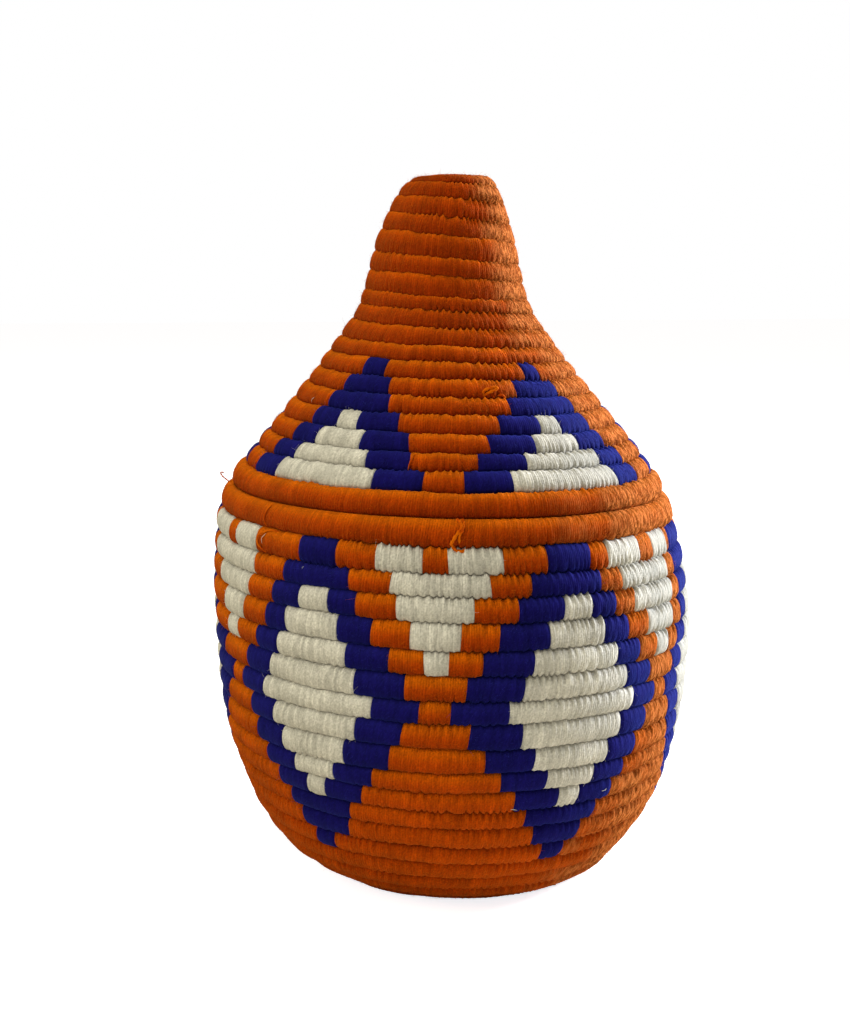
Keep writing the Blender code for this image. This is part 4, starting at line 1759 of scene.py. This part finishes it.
    def build(self) -> None:
        """Set up the studio."""
        self.make_floor()
        self.make_sky()
        self.make_lights()
        self.make_camera()
        bpy.context.scene.view_settings.view_transform = "Standard"


# ---------------------------------------------------------------- putting it together


START_HEIGHT = -0.0009
MOUTH_RADIUS = 0.0862
POT_RIM = 0.0099
LID_RIM = 0.0094
OUTLINE_PLACES = (
    (0.0490, 0.0), (0.0715, 0.0139), (0.0868, 0.0300), (0.0946, 0.0540), (0.0905, 0.0415),
    (MOUTH_RADIUS, 0.0130), (0.0700, 0.0225), (0.0366, 0.0432), (0.0252, 0.0363), (0.0110, 0.0190), (0.0, 0.0),
)

# How far each row's starting edge is shifted along the wall at the front, in millimetres, from the rim
POT_TRIMS = (
    1.23, 0.2, 1.07, 1.07, -0.07, -0.27, -0.77, -0.13, -0.87, -1.43, -0.23, 0.33, 1.87, 1.47, 1.67, 0.9, 1.2, 0.4,
)
LID_TRIMS = (
    -2.12, -3.05, -1.99, -2.42, -2.85, -2.85, -2.79, -2.42, -1.46, -2.32, -2.02, 0.02, -1.04, -0.56, -2.58, -3.2,
    -3.6, -3.6, -2.6, -1.0, 0.0,
)

# The counts of turns at which one length of yarn ends and the next begins
POT_SPLICES = (5.30, 7.82, 8.44, 9.13, 10.61, 11.36, 12.88, 14.20, 15.57, 16.95, 18.08, 19.70, 20.49, 21.12, 22.83,
               23.92, 24.18, 24.77)
LID_SPLICES = (3.37, 4.61, 5.42, 6.40, 7.31, 7.90, 8.52, 9.15, 9.78, 10.27, 11.63, 12.05, 13.86, 15.04, 16.71, 17.93,
               19.12, 20.35, 20.84)

# How many fibres stand off each yarn
POT_HAIRS = {Yarn.ORANGE: 13000, Yarn.BLUE: 8000, Yarn.WHITE: 5000}
LID_HAIRS = {Yarn.ORANGE: 11500, Yarn.BLUE: 3500, Yarn.WHITE: 2000}


def wind_spans(coil: Coil, motifs: tuple[Motif, ...], first_turn: int, downwards: bool) -> dict[Yarn, Spans]:
    """Collect the spans of every motif on a coil, by yarn.

    Args:
        coil: The coil.
        motifs: The motifs on it.
        first_turn: The turn of the pattern's row 1.
        downwards: True where later rows come on earlier turns.

    Returns:
        The spans of each yarn in counts of turns.
    """
    spans: dict[Yarn, Spans] = {}
    for motif in motifs:
        spans.setdefault(motif.yarn, []).extend(motif.spans(coil, first_turn, downwards))
    return spans


def make_coils(outline: Outline) -> tuple[PotCoil, LidCoil]:
    """Make the two coils, which meet at the mouth.

    Args:
        outline: The outline that both follow.

    Returns:
        The coils of the pot and of the lid.
    """
    mouth = outline.length_at(MOUTH_RADIUS)
    pot = PotCoil(
        outline, seam=60.0, heading=-1, knot=0.0040, fill_turns=7, rows=17, row_height=0.00885, rim_height=POT_RIM,
        rim_start=mouth - POT_RIM, depth=0.0095, rim_depth=0.0110, seed=11, trims=tuple(np.array(POT_TRIMS) * MM),
    )
    lid = LidCoil(
        outline, seam=120.0, heading=1, knot=0.0026, fill_turns=13, rows=7, row_height=0.00787, rim_height=LID_RIM,
        rim_start=outline.total - mouth - LID_RIM, depth=0.0085, rim_depth=0.0105, seed=53,
        trims=tuple(np.array(LID_TRIMS) * MM), groove=2.3 * MM, pot=pot,
    )
    return pot, lid


def main() -> None:
    """Dress the basket, body by body, and set up the studio."""
    logging.basicConfig(level=logging.INFO, format="%(message)s")
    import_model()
    wraps = WrapGroup().tree
    materials = {finish.yarn: finish.material(wraps) for finish in FINISHES}
    fibres = {finish.yarn: finish.fibre_material() for finish in FINISHES}
    outline = Outline(START_HEIGHT, OUTLINE_PLACES)
    pot_coil, lid_coil = make_coils(outline)
    pot_names = [f"pot_base_turn_{turn}" for turn in range(1, pot_coil.fill_turns + 1)]
    pot_names += [f"pot_row_{row:02d}" for row in range(pot_coil.rows, 0, -1)] + ["pot_rim"]
    lid_names = ["lid_crown_turn_1", "lid_crown_turn_2"]
    lid_names += [f"lid_plain_row_{row:02d}" for row in range(1, lid_coil.fill_turns - 1)]
    lid_names += [f"lid_pattern_row_{row:02d}" for row in range(1, lid_coil.rows + 1)] + ["lid_rim"]
    pot_spans = wind_spans(
        pot_coil, (POT_DIAMOND, POT_HEART, POT_WEDGE), first_turn=pot_names.index("pot_row_01"), downwards=True)
    lid_spans = wind_spans(
        lid_coil, (LID_PEAK, LID_HEART), first_turn=lid_names.index("lid_pattern_row_01"), downwards=False)
    pot_winder = Winder(pot_coil, materials, pot_spans, seed=7, splices=POT_SPLICES)
    lid_winder = Winder(lid_coil, materials, lid_spans, seed=19, splices=LID_SPLICES)
    top = float(outline.points[-1, 1])
    Basketwork(
        "pot", pot_winder, pot_names, "pot_base_knot", knot_low=0.0, knot_high=0.0086, knot_radius=0.0042).build()
    Basketwork(
        "lid", lid_winder, lid_names, "lid_crown_knot", knot_low=top - 0.0085, knot_high=top,
        knot_radius=0.0030).build()
    Collar(lid_coil, materials[Yarn.ORANGE]).build()
    for coil, body, ends in ((pot_coil, "pot", POT_ENDS), (lid_coil, "lid", LID_ENDS)):
        for end in ends:
            end.make(coil, body, fibres[end.yarn])
    Fuzz(pot_winder, "pot", fibres, hairs=POT_HAIRS, seed=3).build()
    Fuzz(lid_winder, "lid", fibres, hairs=LID_HAIRS, seed=4).build()
    Studio().build()


if __name__ == "__main__":
    main()
